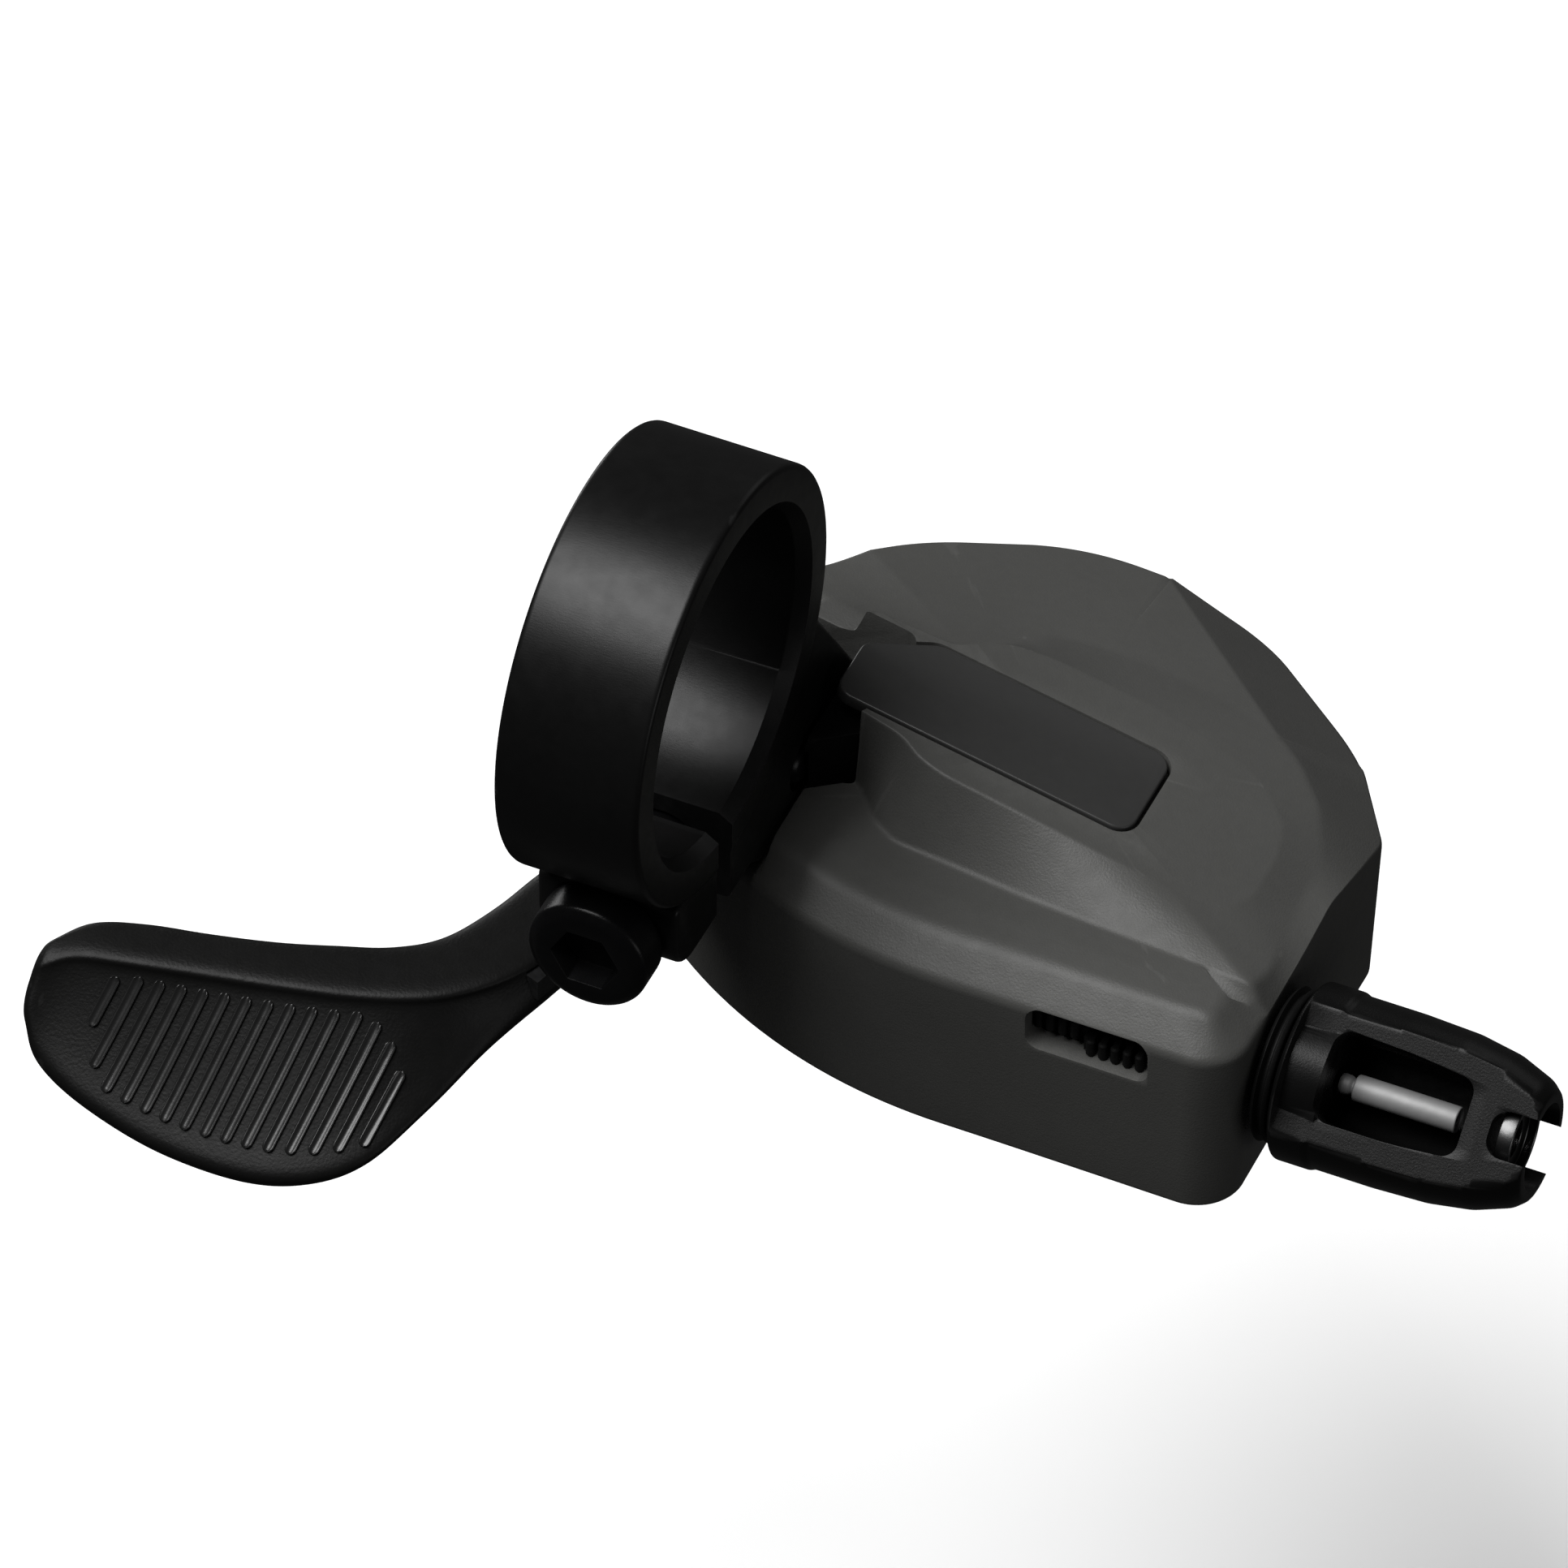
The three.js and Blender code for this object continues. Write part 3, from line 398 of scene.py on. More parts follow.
def cap_screw(name, shank_r, length, head_r, head, socket, axis, at, flip=1, rim=0.35):
    """Socket-head screw: the head's face lies at -head along the axis."""
    profile = [(-head, 0), (-head, head_r - rim * 1.6), (-head + rim, head_r), (-0.2, head_r), (0, head_r - 0.25),
               (0, shank_r), (length - 0.5, shank_r), (length, shank_r - 0.45), (length, 0)]
    body = turned(name, [(a * flip, r) for a, r in profile], 64, axis, at, fillet=0.28)
    hexagon = [(socket * math.cos(math.radians(60 * k)), socket * math.sin(math.radians(60 * k))) for k in range(6)]
    side = {"x": along_x, "y": along_y, "z": lambda u, v, w: (u, v, w)}[axis]
    low, high = sorted((flip * (-head - 1), flip * (-head * 0.4)))
    tool = prism("key", hexagon, low, high, lambda u, v, w: tuple(c + o for c, o in zip(side(u, v, w), at)))
    combine(body, [tool])
    return soften(body, 0.12, 2, 50)


def clamp_details():
    bolt = cap_screw("clamp_bolt_fine", 2.5, 15.6, 4.0, 3.0, 2.3, "y", (0, -8.3, BOLT_Z), rim=0.42)
    dress(bolt, "dark_steel", "frame", "clamp_bolt")
    for i, (y, tip) in enumerate(SCREW_AT):
        screw = cap_screw(f"bracket_screw_{i + 1}_fine", 1.4, tip + 2.4, 2.3, 2.1, 1.1, "x",
                          (-2.4, y, SCREW_Z), rim=0.25)
        dress(screw, "dark_steel", "frame", f"bracket_screw_{i + 1}")
    nut = block("clamp_nut_fine", -3.9, 3.9, 2.9, 5.5, -19.0, -11.4)
    bore = turned("bore", [(2, 0), (2, 3.0), (2.9, 2.6), (6, 2.6), (6, 0)], 48, "y", (0, 0, BOLT_Z))
    combine(nut, [bore])
    soften(nut, 0.3, 3, 50)
    dress(nut, "dark_steel", "frame", "clamp_nut")
    bracket = prism("clamp_bracket_fine", rounded_outline([
        (8.6, -19.2, 0.5), (19.2, -19.2, 0.5), (19.2, -13.9, 0.8), (11.0, -13.9, 0.8), (8.6, -15.9, 0.8),
    ], 5), 5.0, 12.2, along_x)
    step = prism("step", [(4.8, 6), (14, 6), (14, 13.4), (8.8, 13.4), (4.8, 10.3)], -21, -12)
    holes = [turned("hole", [(3, 0), (3, 1.5), (tip + 0.3, 1.5), (tip + 0.3, 0)], 40, "x", (0, y, SCREW_Z))
             for y, tip in SCREW_AT]
    combine(bracket, [step] + holes)
    soften(bracket, 0.22, 3, 50)
    dress(bracket, "anodised_black", "frame", "clamp_bracket")
    bracket.data.materials[0] = DULL_BLACK


# ---------- housing ----------
OUTLINE = [  # x, y and corner radius
    (6.0, 0.4, 35), (38.2, 0.4, 3.2), (38.2, 24.5, 2.0), (33.6, 31.4, 16), (25.0, 37.9, 6),
    (12.5, 37.0, 14), (4.0, 31.0, 18), (-2.6, 22.6, 14), (-5.4, 15.0, 6), (-5.4, 9.96, 3),
]
BASE_Z = -33.0
HUB = np.array([19.0, 17.0])


def deck_z(x):
    return -13 - 0.222 * (np.asarray(x, float) - 13)


def far_facet(x, y):
    return -14.9 - 0.1326 * (x - 11) - 0.2 * (y - 27.1)


def corner_facet(x, y):
    return -17.3 - 0.49 * (x - 30.3) - 0.6 * (y - 26.3)


def read_curve(points, angles, sigma=0.6):
    """Radius and height of a closed curve about HUB, at each angle."""
    p = np.array(points, float)
    dense = []
    for a, b in zip(p, np.roll(p, -1, axis=0)):
        steps = max(2, int(np.linalg.norm((b - a)[:2]) / 0.06))
        dense.append(a + (b - a) * np.linspace(0, 1, steps, endpoint=False)[:, None])
    q = np.vstack(dense)
    if sigma:
        reach = int(3 * sigma / 0.06)
        kernel = np.exp(-0.5 * (np.arange(-reach, reach + 1) * 0.06 / sigma) ** 2)
        kernel /= kernel.sum()
        wrapped = np.vstack([q[-reach:], q, q[:reach]])
        q = np.stack([np.convolve(wrapped[:, k], kernel, "valid") for k in range(3)], axis=1)
    angle = np.arctan2(q[:, 1] - HUB[1], q[:, 0] - HUB[0])
    order = np.argsort(angle)
    angle, q = angle[order], q[order]
    radius = np.hypot(q[:, 0] - HUB[0], q[:, 1] - HUB[1])
    return (np.interp(angles, angle, radius, period=2 * math.pi),
            np.interp(angles, angle, q[:, 2], period=2 * math.pi))


def upper_cover():
    outer = np.array(rounded_outline(OUTLINE, 24))
    # samples at even steps along the outline
    around = np.vstack([outer, outer[:1]])
    run = np.concatenate([[0], np.cumsum(np.linalg.norm(np.diff(around, axis=0), axis=1))])
    even = np.linspace(0, run[-1], 600, endpoint=False)
    ox, oy = np.interp(even, run, around[:, 0]), np.interp(even, run, around[:, 1])
    angles = np.sort(np.arctan2(oy - HUB[1], ox - HUB[0]))
    rim = [  # x, y, z along the top of the wall
        (6, 0.4, -20), (35, 0.4, -20), (38.2, 4, -20), (38.2, 12, -19.7), (38.2, 16, -19.2), (38.2, 20, -20.4),
        (38.2, 24.4, -21.7), (37.0, 26.9, -21.5), (35.1, 29.1, -21.35),
    ]
    rim += [(-1, 24.6, -13.6), (-3, 21, -13.4), (-5.2, 13, -17), (-3, 5, -20)]
    ra, _ = read_curve([(x, y, 0) for x, y in outer], angles, 0)
    _, za = read_curve(rim, angles, 0.5)
    ax, ay = HUB[0] + ra * np.cos(angles), HUB[1] + ra * np.sin(angles)
    facets = np.minimum(far_facet(ax, ay), corner_facet(ax, ay))
    on_facets = np.clip((angles - 0.60) / 0.12, 0, 1) * np.clip((2.78 - angles) / 0.2, 0, 1)
    za = za * (1 - on_facets) + facets * on_facets
    near_b = [(x, y, -18.0) for x, y in rounded_outline(inset(OUTLINE, 2.4), 16)]
    rb, zb = read_curve(near_b, angles, 0.3)
    foot = [
        (4.5, 12.9, -18), (7.9, 12.3, -18), (8.9, 11.2, -18), (9.9, 9.9, -18), (11.9, 8.6, -18), (15.6, 8.2, -18),
        (21.8, 7.4, -18), (27.9, 6.9, -18), (33.8, 6.5, -18), (36.9, 6.4, -18.05), (37.2, 8.4, -18.7),
        (36.7, 12, -19.05), (36.5, 16, -19.0), (36.2, 19.2, -18.9), (34.5, 22.6, -18.2), (32.2, 25, -17.6),
        (30.3, 26.3, -17.3),
    ]
    foot += [(x, y, far_facet(x, y)) for x, y in (
        (26.1, 27.5), (21.6, 28.0), (17.0, 27.7), (14.2, 26.6), (12.6, 24.6), (11.0, 22.2), (8.5, 21.4), (5, 21.2))]
    foot += [(3, 19, -13.8), (2, 14, -15)]
    rc, zc = read_curve(foot, angles, 0.4)
    deck = [
        (5, 12.9), (10.8, 12.2), (12.4, 11.2), (14.4, 10.8), (31.2, 10.8), (33.2, 11.4), (34.1, 13.0), (34.1, 17.0),
        (33.4, 19.6), (30.9, 22.0), (27.6, 23.1), (22.1, 23.5), (16.5, 23.5), (13.6, 23.1), (11.8, 22.1),
        (10.4, 20.9), (7.5, 20.7), (5, 20.6), (4, 18),
    ]
    rd, zd = read_curve([(x, y, float(deck_z(x))) for x, y in deck], angles, 0.45)
    cosine, sine = np.cos(angles), np.sin(angles)
    # the crease between the big far facet and the corner facet
    start, end = np.array([18.2, 37.1]) - HUB, np.array([30.3, 26.3]) - HUB
    first, last = math.atan2(*end[::-1]), math.atan2(*start[::-1])
    across = end - start
    cut = (start[0] * across[1] - start[1] * across[0]) / (cosine * across[1] - sine * across[0])
    share = np.clip((cut - rc) / (ra - rc), 0.0, 0.96)
    inside = (angles > first) & (angles < last)
    rk = rc + (ra - rc) * 0.5
    zk = zc + (za - zc) * 0.5
    rk = np.where(inside, rc + (ra - rc) * np.maximum(share, 0.05), rk)
    kx, ky = HUB[0] + rk * cosine, HUB[1] + rk * sine
    zk = np.where(inside, np.minimum(far_facet(kx, ky), corner_facet(kx, ky)), zk)
    # near side: the ledge lies between the foot and the shoulder line
    ledge = (angles < -0.62) | (angles > 2.95)
    rk = np.where(ledge, (rb + rc) / 2, rk)
    zk = np.where(ledge, (zb + zc) / 2 + 0.06, zk)
    blend = np.clip((angles + 0.62) / 0.10, 0, 1) * np.clip((3.0 - angles) / 0.15, 0, 1)
    rb = rb * (1 - blend) + (ra + (rk - ra) * 0.18) * blend
    zb = zb * (1 - blend) + (za + (zk - za) * 0.18) * blend
    foot_z = np.full_like(ra, BASE_Z)
    profile = [
        (ra - 1.2, foot_z), (ra - 0.45, foot_z), (ra, za), (rb, zb), (rk, zk), (rc, zc), (rd, zd),
        (rd * 0.72, deck_z(HUB[0] + rd * 0.72 * cosine)),
    ]
    reach = [0, 0.4, 0.5, 0.7, 0.25, 0.38, 0.22, 0]
    rows = []
    corners = [np.stack(p, axis=1) for p in profile]
    for j, at in enumerate(corners):
        if reach[j] == 0:
            rows.append(at)
            continue
        before, after = corners[j - 1] - at, corners[j + 1] - at
        lb = np.linalg.norm(before, axis=1, keepdims=True) + 1e-9
        la = np.linalg.norm(after, axis=1, keepdims=True) + 1e-9
        s = at + before / lb * np.minimum(reach[j], 0.46 * lb)
        e = at + after / la * np.minimum(reach[j], 0.46 * la)
        if j > 1:
            previous = rows[-1]
            for t in (0.25, 0.5, 0.75):
                rows.append(previous + (s - previous) * t)
        for t in np.linspace(0, 1, 7):
            rows.append((1 - t) ** 2 * s + 2 * t * (1 - t) * at + t * t * e)
    verts = []
    for row in rows:
        verts += list(zip(HUB[0] + row[:, 0] * cosine, HUB[1] + row[:, 0] * sine, row[:, 1]))
    count = len(angles)
    for share_in in (0.5, 0.3, 0.14):
        x, y = HUB[0] + rd * share_in * cosine, HUB[1] + rd * share_in * sine
        verts += list(zip(x, y, deck_z(x)))
    total = len(verts) // count
    verts.append((HUB[0], HUB[1], float(deck_z(HUB[0]))))
    verts.append((HUB[0], HUB[1], BASE_Z))
    faces = []
    for r in range(total - 1):
        for i in range(count):
            k = (i + 1) % count
            faces.append((r * count + i, r * count + k, (r + 1) * count + k, (r + 1) * count + i))
    for i in range(count):
        k = (i + 1) % count
        faces.append(((total - 1) * count + i, (total - 1) * count + k, total * count))
        faces.append((k, i, total * count + 1))
    cover = make("upper_cover_fine", verts, faces, 40)
    cutters = [
        prism("inside", rounded_outline(inset(OUTLINE, 1.8), 6), -35, -21.6),
        prism("attic", rounded_outline([(13.4, 11.4, 1.5), (31.5, 11.4, 2), (31.5, 22.4, 4), (13.4, 22.4, 1.5)], 6),
              -22.4, -19.6),
        # room for the clamp's arm and its bracket
        prism("recess", rounded_outline([
            (-14, -6, 1), (5.1, -6, 1), (5.0, 11.6, 1.6), (8.1, 12.2, 1.4), (8.6, 20.2, 0.9), (-14, 20.2, 1),
        ], 8), -19.6, 0),
        prism("bracket_room", rounded_outline([(5.2, 13.1, 0.4), (12.5, 13.1, 0.4), (12.5, 19.5, 0.4),
                                               (5.2, 19.5, 0.4)],
                                              4), -19.6, -14.2),
        on_deck("pocket", rounded_outline([(4.0, 12.92, 0.8), (26.24, 12.86, 1.5), (26.24, 20.54, 1.5),
                                           (9.6, 20.47, 2.0), (4.0, 17.0, 0.8)], 8), 0.95, 6.0),
        prism("window", rounded_outline([(24.4, -23.2, 0.9), (32.6, -23.2, 0.9), (32.6, -19.9, 0.9),
                                         (24.4, -19.9, 0.9)],
                                        6), -2.0, 3.4, along_y),
        turned("adjuster_hole", [(34, 0), (34, 3.4), (42, 3.4), (42, 0)], 64, "x", (0, 7.5, -25.2)),
    ]
    combine(cover, cutters, sharp=38)
    soften(cover, 0.16, 2, 50, 38)
    return dress(cover, "cover_grey", "frame", "upper_cover")


def on_deck(name, outline, depth, lift):
    """Flat piece in the plane of the tilted deck, from depth below it to lift above it."""
    tilt = math.atan(0.222)
    turn = lambda u, v, w: (13 + (u - 13) * math.cos(tilt) + w * math.sin(tilt), v,
                            -13 - (u - 13) * math.sin(tilt) + w * math.cos(tilt))
    return prism(name, outline, -depth, lift, turn)


def inlay_plate():
    plate = on_deck("inlay_plate_fine", rounded_outline([(5.6, 13.1, 1.1), (26.0, 13.1, 1.3), (26.0, 20.3, 1.3),
                                                         (9.8, 20.3, 2.0), (5.6, 17.7, 0.9)], 10), 0.85, 0.10)
    soften(plate, 0.16, 3, 50)
    return dress(plate, "plate_black", "frame", "inlay_plate")


def window_grommet():
    """Ribbed grommet: a backing with two stepped groups of upright ribs."""
    piece = prism("window_grommet_fine", rounded_outline([
        (23.2, -24.1, 0.5), (33.8, -24.1, 0.5), (33.8, -21.75, 0.5), (23.2, -21.75, 0.5)], 4), 2.5, 3.6, along_y)
    ribs = []
    for i in range(9):
        right = i > 3
        x = 24.75 + 0.82 * i + (0.35 if right else 0)
        low, high = (-23.15, -21.9) if right else (-22.45, -20.9)
        out = 1.45 if right else 1.75
        ribs.append(turned("rib", [(low, 0), (low, 0.22), (low + 0.12, 0.30), (high - 0.12, 0.30),
                                  (high, 0.22), (high, 0)],
                           20, "z", (x, out, 0)))
        ribs.append(block("web", x - 0.2, x + 0.2, out, 2.9, low + 0.1, max(high - 0.3, -21.9)))
    ribs.append(block("step", 27.9, 28.25, 1.5, 2.9, -23.0, -21.9))
    combine(piece, ribs, "UNION")
    soften(piece, 0.06, 2, 50)
    return dress(piece, "rubber_black", "frame", "window_grommet")


# ---------- lever ----------
LEVER = [  # back edge on top, front edge on top, foot of the thumb face
    ((-3.2, 19.3, -33.5), (-2.2, 11.9, -33.5), (-2.2, 11.7, -36.7)),
    ((-8.6, 17.4, -33.5), (-4.8, 10.6, -33.5), (-4.8, 10.4, -36.7)),
    ((-12.9, 13.4, -33.5), (-9.2, 7.9, -33.5), (-8.0, 7.4, -36.7)),
    ((-14.9, 7.8, -33.5), (-10.6, 3.9, -33.5), (-9.4, 3.4, -36.9)),
    ((-16.8, 3.9, -33.5), (-12.2, 1.2, -33.5), (-11.2, -0.9, -37.9)),
    ((-19.4, 1.8, -33.5), (-15.0, -1.2, -33.6), (-13.2, -5.6, -39.8)),
    ((-22.4, 0.6, -33.5), (-19.2, -2.9, -33.7), (-15.9, -10.3, -41.6)),
    ((-26.0, -0.7, -33.5), (-24.2, -4.2, -33.7), (-20.9, -13.0, -42.4)),
    ((-30.2, -1.8, -33.5), (-29.2, -5.3, -33.7), (-27.6, -13.6, -42.2)),
    ((-33.9, -2.6, -33.5), (-33.3, -6.2, -33.7), (-33.6, -13.1, -40.9)),
    ((-37.1, -3.9, -33.5), (-36.8, -7.0, -33.8), (-37.5, -12.0, -39.5)),
    ((-39.0, -6.2, -33.8), (-38.8, -8.1, -34.4), (-39.0, -10.6, -37.6)),
]
RECESS = (0, 0, 0, 0.05, 0.3, 0.5, 0.5, 0.5, 0.5, 0.45, 0.3, 0.1)  # how far the thumb face lies under its lip


def spline(points, count):
    """Even samples of a Catmull-Rom curve through points."""
    p = np.array(points, float)
    p = np.vstack([2 * p[0] - p[1], p, 2 * p[-1] - p[-2]])
    out = []
    spans = len(p) - 3
    for k in range(count):
        s = min(k / (count - 1) * spans, spans - 1e-9)
        i = int(s)
        t = s - i
        a, b, c, d = p[i:i + 4]
        out.append(0.5 * (2 * b + (c - a) * t + (2 * a - 5 * b + 4 * c - d) * t * t + (3 * b - a - 3 * c + d) * t ** 3))
    return np.array(out)


def lever_ring(back, front, low, recess):
    back, front, low = (np.array(v, float) for v in (back, front, low))
    along_top = (front - back) / np.linalg.norm(front - back)
    down = (low - front) / np.linalg.norm(low - front)
    drop = np.array([0, 0, -1.0])
    # into the material, square to the face
    into = along_top * -1 - down * float((-along_top) @ down)
    into /= np.linalg.norm(into)
    width = float(np.linalg.norm(front - back))
    height = float(np.linalg.norm(low - front))
    thick = min(2.9, 0.62 * height)
    back_low = back + drop * min(3.1, 0.75 * height)
    under = low + into * thick * 0.9 + np.array([0, 0, 0.15])
    return [
        back + along_top * 0.55, back + along_top * width * 0.5, front - along_top * 0.5,
        front + down * 0.35, front + down * 0.62 + into * recess * 0.5, front + down * 1.0 + into * recess,
        front + down * height * 0.5 + into * recess, low - down * 1.8 + into * recess * 0.6, low - down * 0.5,
        low + into * 0.7 + down * 0.15, under, (under + back_low) / 2 + drop * 0.2,
        back_low + along_top * 0.4, back + drop * 2.3, back + drop * 0.7,
    ]


def thumb_lever():
    stations = 48
    backs, fronts, lows = (spline([s[k] for s in LEVER], stations) for k in range(3))
    dips = np.interp(np.linspace(0, 1, stations), np.linspace(0, 1, len(RECESS)), RECESS)
    rings = [lever_ring(*ring) for ring in zip(backs, fronts, lows, dips)]
    # close the tip roundly
    last = np.array(rings[-1])
    middle = last.mean(axis=0)
    for shrink, push in ((0.86, 0.22), (0.62, 0.42), (0.3, 0.55)):
        ring = middle + (last - middle) * shrink + np.array([-1.0, 0.0, 0.0]) * push
        rings.append([tuple(v) for v in ring])
    lever = skin("thumb_lever_fine", rings, 60)
    subdivided(lever, 2)
    slot = skin("slot", [
        [(x, y, z) for x, y, z in ring] for ring in slot_rings()
    ])
    holes = [turned("hole", [(-40, 0), (-40, 1.25), (-30, 1.25), (-30, 0)], 40, "z", (x, y, 0)) for x, y in RIVETS]
    combine(lever, [slot] + holes, sharp=45)
    graph = bpy.context.evaluated_depsgraph_get()
    tree = BVHTree.FromObject(lever, graph)
    rib_field(tree, fronts, lows)
    return dress(lever, "moulded_black", "lever", "thumb_lever")


RIVETS = ((-4.4, 14.4), (-9.8, 8.6))
ARM_PATH = ((5.5, 16.8), (-3.5, 15.6), (-9.2, 10.6), (-11.6, 3.6))


def slot_rings():
    """Room in the moulded arm for the steel plate."""
    centre = spline([(x, y, 0) for x, y in ARM_PATH], 20)
    widths = np.interp(np.linspace(0, 3, 20), [0, 1, 2, 3], [7.6, 5.2, 4.8, 4.6])
    rings = []
    for i, p in enumerate(centre):
        d = centre[min(i + 1, 19)] - centre[max(i - 1, 0)]
        side = np.array([-d[1], d[0], 0]) / np.linalg.norm(d) * widths[i] / 2
        a, b = p + side, p - side
        rings.append([(a[0], a[1], -36.1), (b[0], b[1], -36.1), (b[0], b[1], -34.1), (a[0], a[1], -34.1)])
    return rings


RIB_SECTION = (  # a low rib with a dished top
    (-0.38, -0.25), (-0.38, 0.16), (-0.35, 0.24), (-0.29, 0.26), (-0.20, 0.20), (0.0, 0.17),
    (0.20, 0.20), (0.29, 0.26), (0.35, 0.24), (0.38, 0.16), (0.38, -0.25),
)


def rib_field(tree, fronts, lows):
    """Slanting grip ribs, each laid on the thumb face."""
    face_out = Vector((0.0, -0.72, 0.69))
    count = 15
    verts = []
    faces = []
    for i in range(count):
        t = i / (count - 1)
        x_top = -33.9 + 19.2 * t
        x_low = x_top - 1.9
        v_top, v_low = 0.10, 0.84
        if i == 0:
            v_top, v_low = 0.13, 0.50
        elif i == 1:
            v_top, v_low = 0.10, 0.74
        elif i == count - 3:
            v_top = 0.15
        elif i == count - 2:
            v_top = 0.26
        elif i == count - 1:
            v_top = 0.44
        path = []
        for k in range(25):
            s = (1 - math.cos(math.pi * k / 24)) / 2
            v = v_top + (v_low - v_top) * s
            x = x_top + (x_low - x_top) * v
            front = np.array([np.interp(x, fronts[::-1, 0], fronts[::-1, j]) for j in range(3)])
            low = np.array([np.interp(x, lows[::-1, 0], lows[::-1, j]) for j in range(3)])
            p = Vector(front + (low - front) * v) * MM
            hit = tree.ray_cast(p + face_out * 0.004, -face_out)
            if hit[0] is not None:
                path.append((hit[0] / MM, hit[1]))
        base = len(verts)
        sides = len(RIB_SECTION)
        for k, (p, normal) in enumerate(path):
            before = path[max(k - 1, 0)][0]
            after = path[min(k + 1, len(path) - 1)][0]
            ahead = (after - before).normalized()
            side = ahead.cross(normal).normalized()
            from_end = min((p - path[0][0]).length, (path[-1][0] - p).length)
            r = 0.38
            taper = math.sqrt(max(0.0, 1 - max(0.0, 1 - from_end / r) ** 2)) if from_end < r else 1.0
            taper = max(taper, 0.06)
            for u, w in RIB_SECTION:
                q = p + side * (u * taper) + normal * (w * min(1.0, 0.4 + taper))
                verts.append(tuple(q))
        rows = len(path)
        for k in range(rows - 1):
            for m in range(sides):
                j = (m + 1) % sides
                faces.append((base + k * sides + m, base + k * sides + j, base + (k + 1) * sides + j,
                              base + (k + 1) * sides + m))
        faces.append(tuple(base + m for m in range(sides))[::-1])
        faces.append(tuple(base + (rows - 1) * sides + m for m in range(sides)))
    ribs = make("thumb_ribs", verts, faces, 60)
    dress(ribs, "moulded_black", "lever")
    ribs.data.materials[0] = RIB_BLACK
    return ribs


# ---------- adjuster ----------
CABLE = (7.5, -25.2)
FLAT_TURN = math.radians(-47)


def barrel_adjuster():
    """Tapered barrel with two flats, a window through them and a notched tip."""
    outline = rounded_line([(39.9, 3.2), (39.9, 5.4), (40.15, 5.75), (42.4, 5.75), (42.7, 5.6),
                            (46.5, 5.6), (50.2, 5.45),
                            (53.0, 5.0), (55.3, 4.15), (56.0, 3.55), (56.0, 3.1)], 0.3, 4)
    rings = []
    around = 160
    for x, r in outline:
        depth = 3.85 - 0.055 * (x - 42.2)
        if x < 40.3:
            depth = r
        ring = []
        for k in range(around):
            a = 2 * math.pi * k / around
            ring.append((x, max(-depth, min(depth, r * math.cos(a))), r * math.sin(a)))
        rings.append(ring)
    barrel = skin("barrel_adjuster_fine", rings, 30)
    # round collar that stands out of the flats, next to the flange
    collar = turned("collar", [(40.1, 0), (40.1, 4.75), (42.7, 4.75), (43.0, 4.5), (43.0, 0)], 128, "x")
    combine(barrel, [collar], "UNION")
    bore = turned("bore", [(39, 0), (39, 3.08), (43.0, 3.08), (43.0, 2.75), (52.4, 2.75), (52.4, 0.6), (53.7, 0.6),
                           (53.7, 2.85), (58, 2.85), (58, 0)], 128, "x")
    window = prism("window", rounded_outline([(42.5, -2.7, 1.0), (47.5, -2.7, 30), (51.7, -2.35, 1.0), (51.7, 2.6, 1.0),
                                              (47.5, 3.05, 30), (42.5, 3.25, 1.0)], 8), -9, 0,
                   lambda u, v, w: (u, w, v))
    notch = prism("notch", rounded_outline([(53.3, -1.5, 1.1), (58, -1.5, 0.1), (58, 1.5, 0.1),
                                             (53.3, 1.5, 1.1)], 8), -9, 9,
                  lambda u, v, w: (u, w, v))
    combine(barrel, [bore, window, notch], sharp=30)
    soften(barrel, 0.14, 3, 32)
    barrel.data.transform(Matrix.Translation((0, CABLE[0] * MM, CABLE[1] * MM)) @ Matrix.Rotation(FLAT_TURN, 4, "X"))
    return dress(barrel, "adjuster_black", "barrel", "barrel_adjuster")


def adjuster_details():
    at = (0, CABLE[0], CABLE[1])
    sleeve = turned("adjuster_sleeve_fine", [(35, 0.9), (35, 3.5), (36.1, 3.5), (36.1, 3.0), (42.2, 3.0),
                                             (42.4, 2.8), (42.4, 0.9),
                                             (35, 0.9)], 96, "x", at, closed=False)
    dress(sleeve, "dark_steel", "frame", "adjuster_sleeve")
    boot = turned("adjuster_boot_fine", rounded_line([
        (38.5, 3.3), (38.5, 4.8), (38.75, 5.05), (38.95, 4.55), (39.15, 4.5), (39.3, 5.0), (39.6, 4.8), (39.6, 3.3),
        (38.5, 3.3)], 0.12, 3), 128, "x", at)
    dress(boot, "rubber_black", "frame", "adjuster_boot")
    pin = turned("cable_sleeve_fine", rounded_line([
        (42.6, 0.38), (42.6, 0.55), (42.85, 0.66), (43.3, 0.62), (43.55, 0.42), (43.65, 0.85),
        (50.5, 0.85), (50.5, 0.38),
        (42.6, 0.38)], 0.12, 4), 64, "x", at)
    dress(pin, "steel", "frame", "cable_sleeve")
    # The pin takes the painted-reflection light grey in place of dark reflective steel.
    pin.data.materials[0] = PIN_STEEL_PAINTED_REFLECTION
    seat = turned("casing_seat_fine", rounded_line([
        (53.8, 1.3), (53.8, 2.8), (54.8, 2.8), (54.8, 2.45), (54.2, 2.45),
        (54.2, 1.3), (53.8, 1.3)], 0.1, 3), 96, "x", at)
    dress(seat, "steel", "casing_seat", "casing_seat")
    seat.data.materials[0] = SEAT_STEEL


clamp_band()
clamp_details()
upper_cover()
inlay_plate()
window_grommet()
thumb_lever()
barrel_adjuster()
adjuster_details()

# ---------- floor, lights and camera ----------
FLOOR_DROP = 60  # mm from the lowest CAD point down to the floor
FLOOR_GLOW = 0.30
LIGHT_DISTANCE = 0.75
LIGHT_AIM = (0.010, 0.010, -0.015)

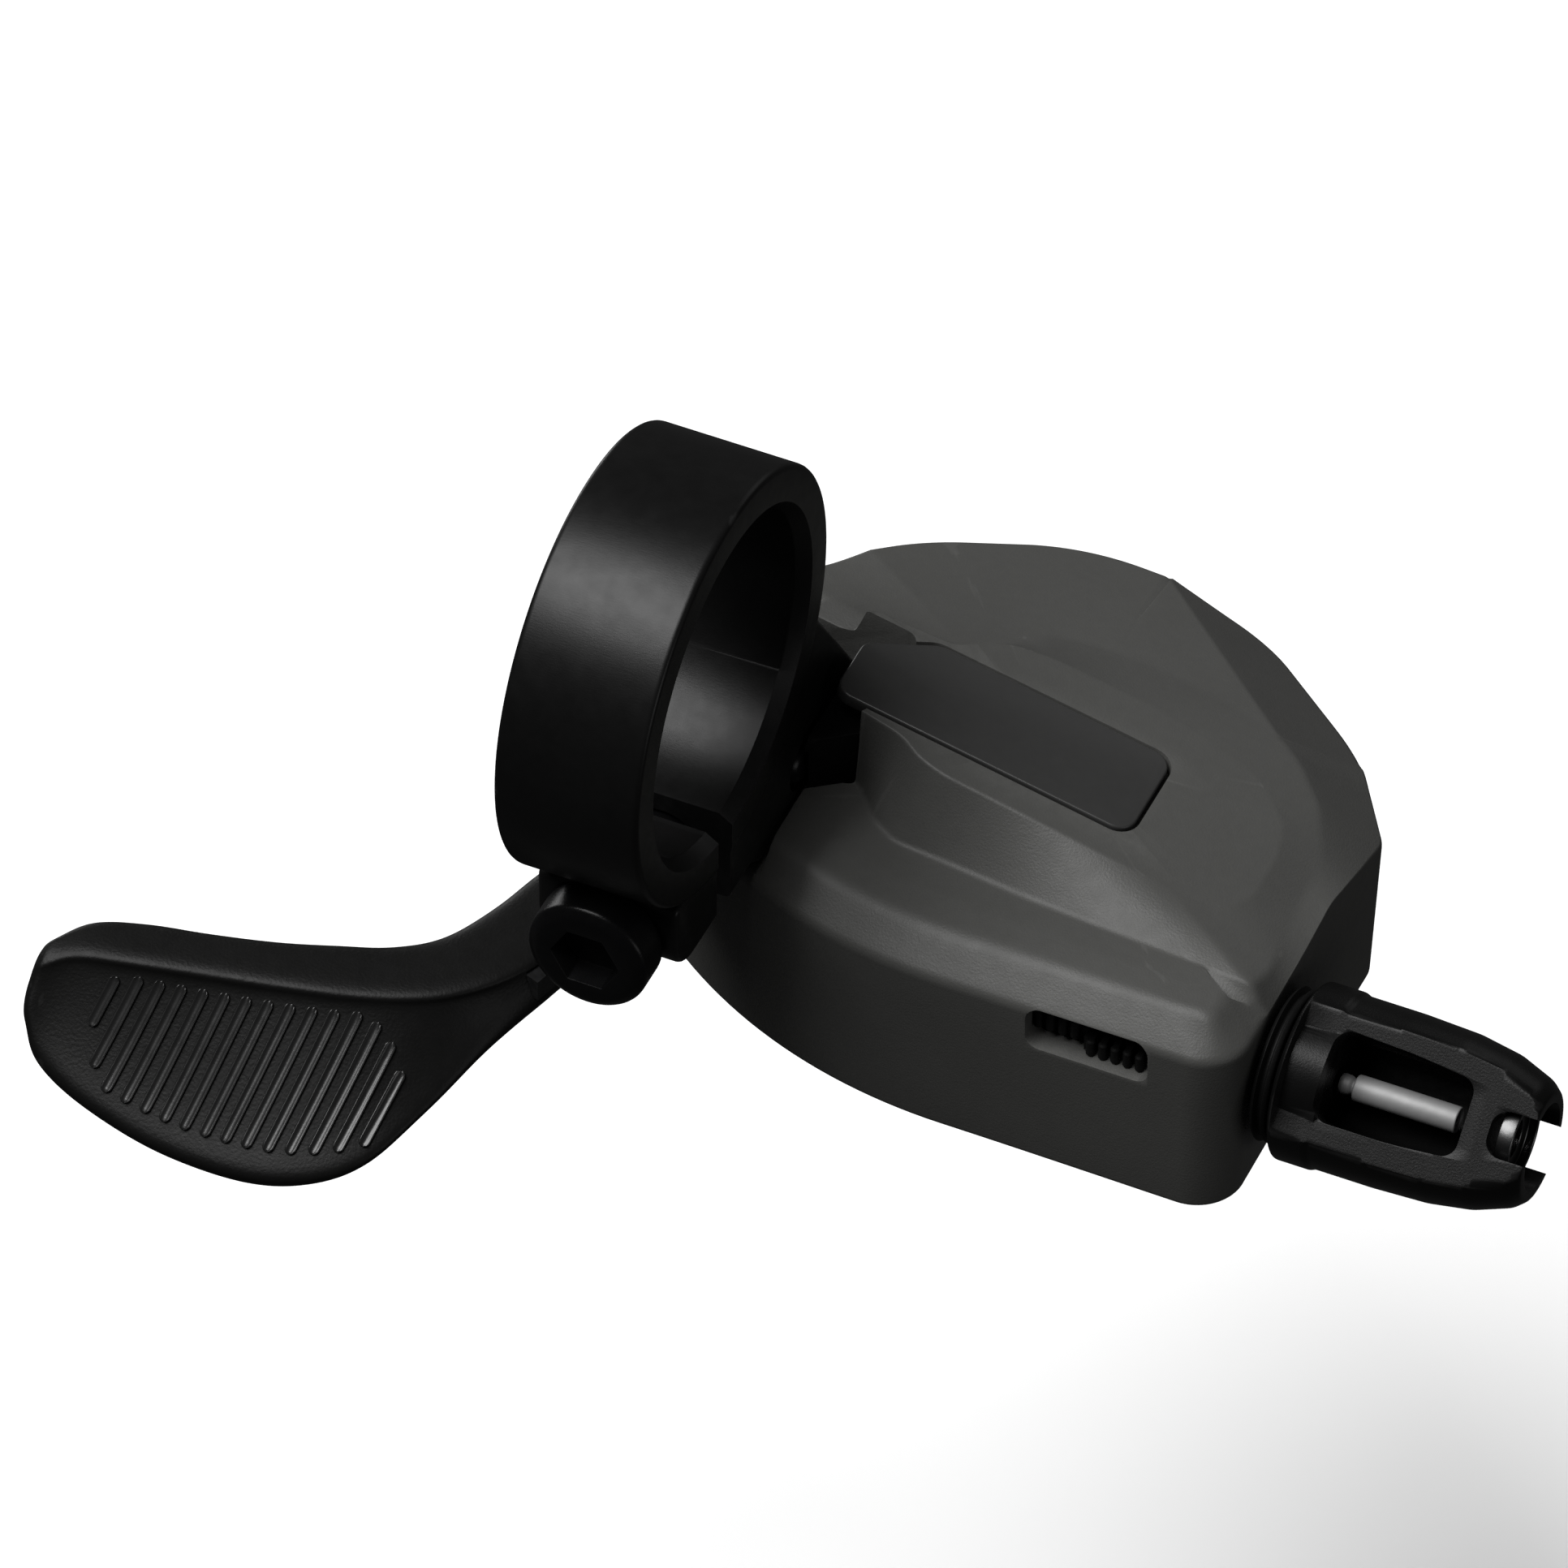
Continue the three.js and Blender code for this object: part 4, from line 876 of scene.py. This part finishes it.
low, _ = cad_box
floor_z = low[2] / MM - FLOOR_DROP
floor = make("floor", [(-2500, -2500, floor_z), (2500, -2500, floor_z), (2500, 2500, floor_z), (-2500, 2500, floor_z)],
             [(0, 1, 2, 3)])
floor.data.materials.append(material("floor_white", (0.90, 0.90, 0.90), 0.85, 0.1, grain=(0.2, 0.02), blotch=0.005))
floor_shader = next(n for n in floor.data.materials[0].node_tree.nodes if n.type == "BSDF_PRINCIPLED")
floor_shader.inputs["Emission Color"].default_value = (1, 1, 1, 1)
floor_shader.inputs["Emission Strength"].default_value = FLOOR_GLOW
floor.visible_diffuse = False
floor.visible_glossy = False


def softbox(name, direction, size, power):
    """Rectangular area light facing the object from the given direction."""
    data = bpy.data.lights.new(name, "AREA")
    data.shape = "RECTANGLE"
    data.size, data.size_y = size
    data.energy = power
    obj = bpy.data.objects.new(name, data)
    scene.collection.objects.link(obj)
    d = Vector(direction).normalized()
    obj.location = Vector(LIGHT_AIM) + d * LIGHT_DISTANCE
    obj.rotation_euler = d.to_track_quat("Z", "Y").to_euler()


softbox("key", (-0.28, -0.31, 0.91), (0.50, 0.40), 7.8)
softbox("right", (1.0, -0.32, 0.10), (0.35, 0.25), 0.50)
softbox("back", (0.2, 1.0, 0.45), (0.5, 0.3), 0.25)
softbox("rear", (-0.8, 0.6, 0.12), (0.40, 0.30), 1.3)

world = bpy.data.worlds.new("studio")
world.use_nodes = True
world.node_tree.nodes["Background"].inputs["Color"].default_value = (1, 1, 1, 1)
world.node_tree.nodes["Background"].inputs["Strength"].default_value = 0.04
scene.world = world
scene.view_settings.view_transform = "Standard"

camera_data = bpy.data.cameras.new("camera")
camera_data.lens = 414.5
camera_data.sensor_width = 36
camera_data.clip_start = 0.05
camera_data.clip_end = 20
camera = bpy.data.objects.new("camera", camera_data)
right, up = (0.9121013, 0.4091688, 0.0086831), (-0.2924755, 0.6370753, 0.7130640)
back = (0.2861722, -0.6525511, 0.7008290)
turn = Matrix((right, up, back)).transposed().to_4x4()
camera.matrix_world = Matrix.Translation(Vector((0.323993, -0.720291, 0.766456))) @ turn
scene.collection.objects.link(camera)
scene.camera = camera
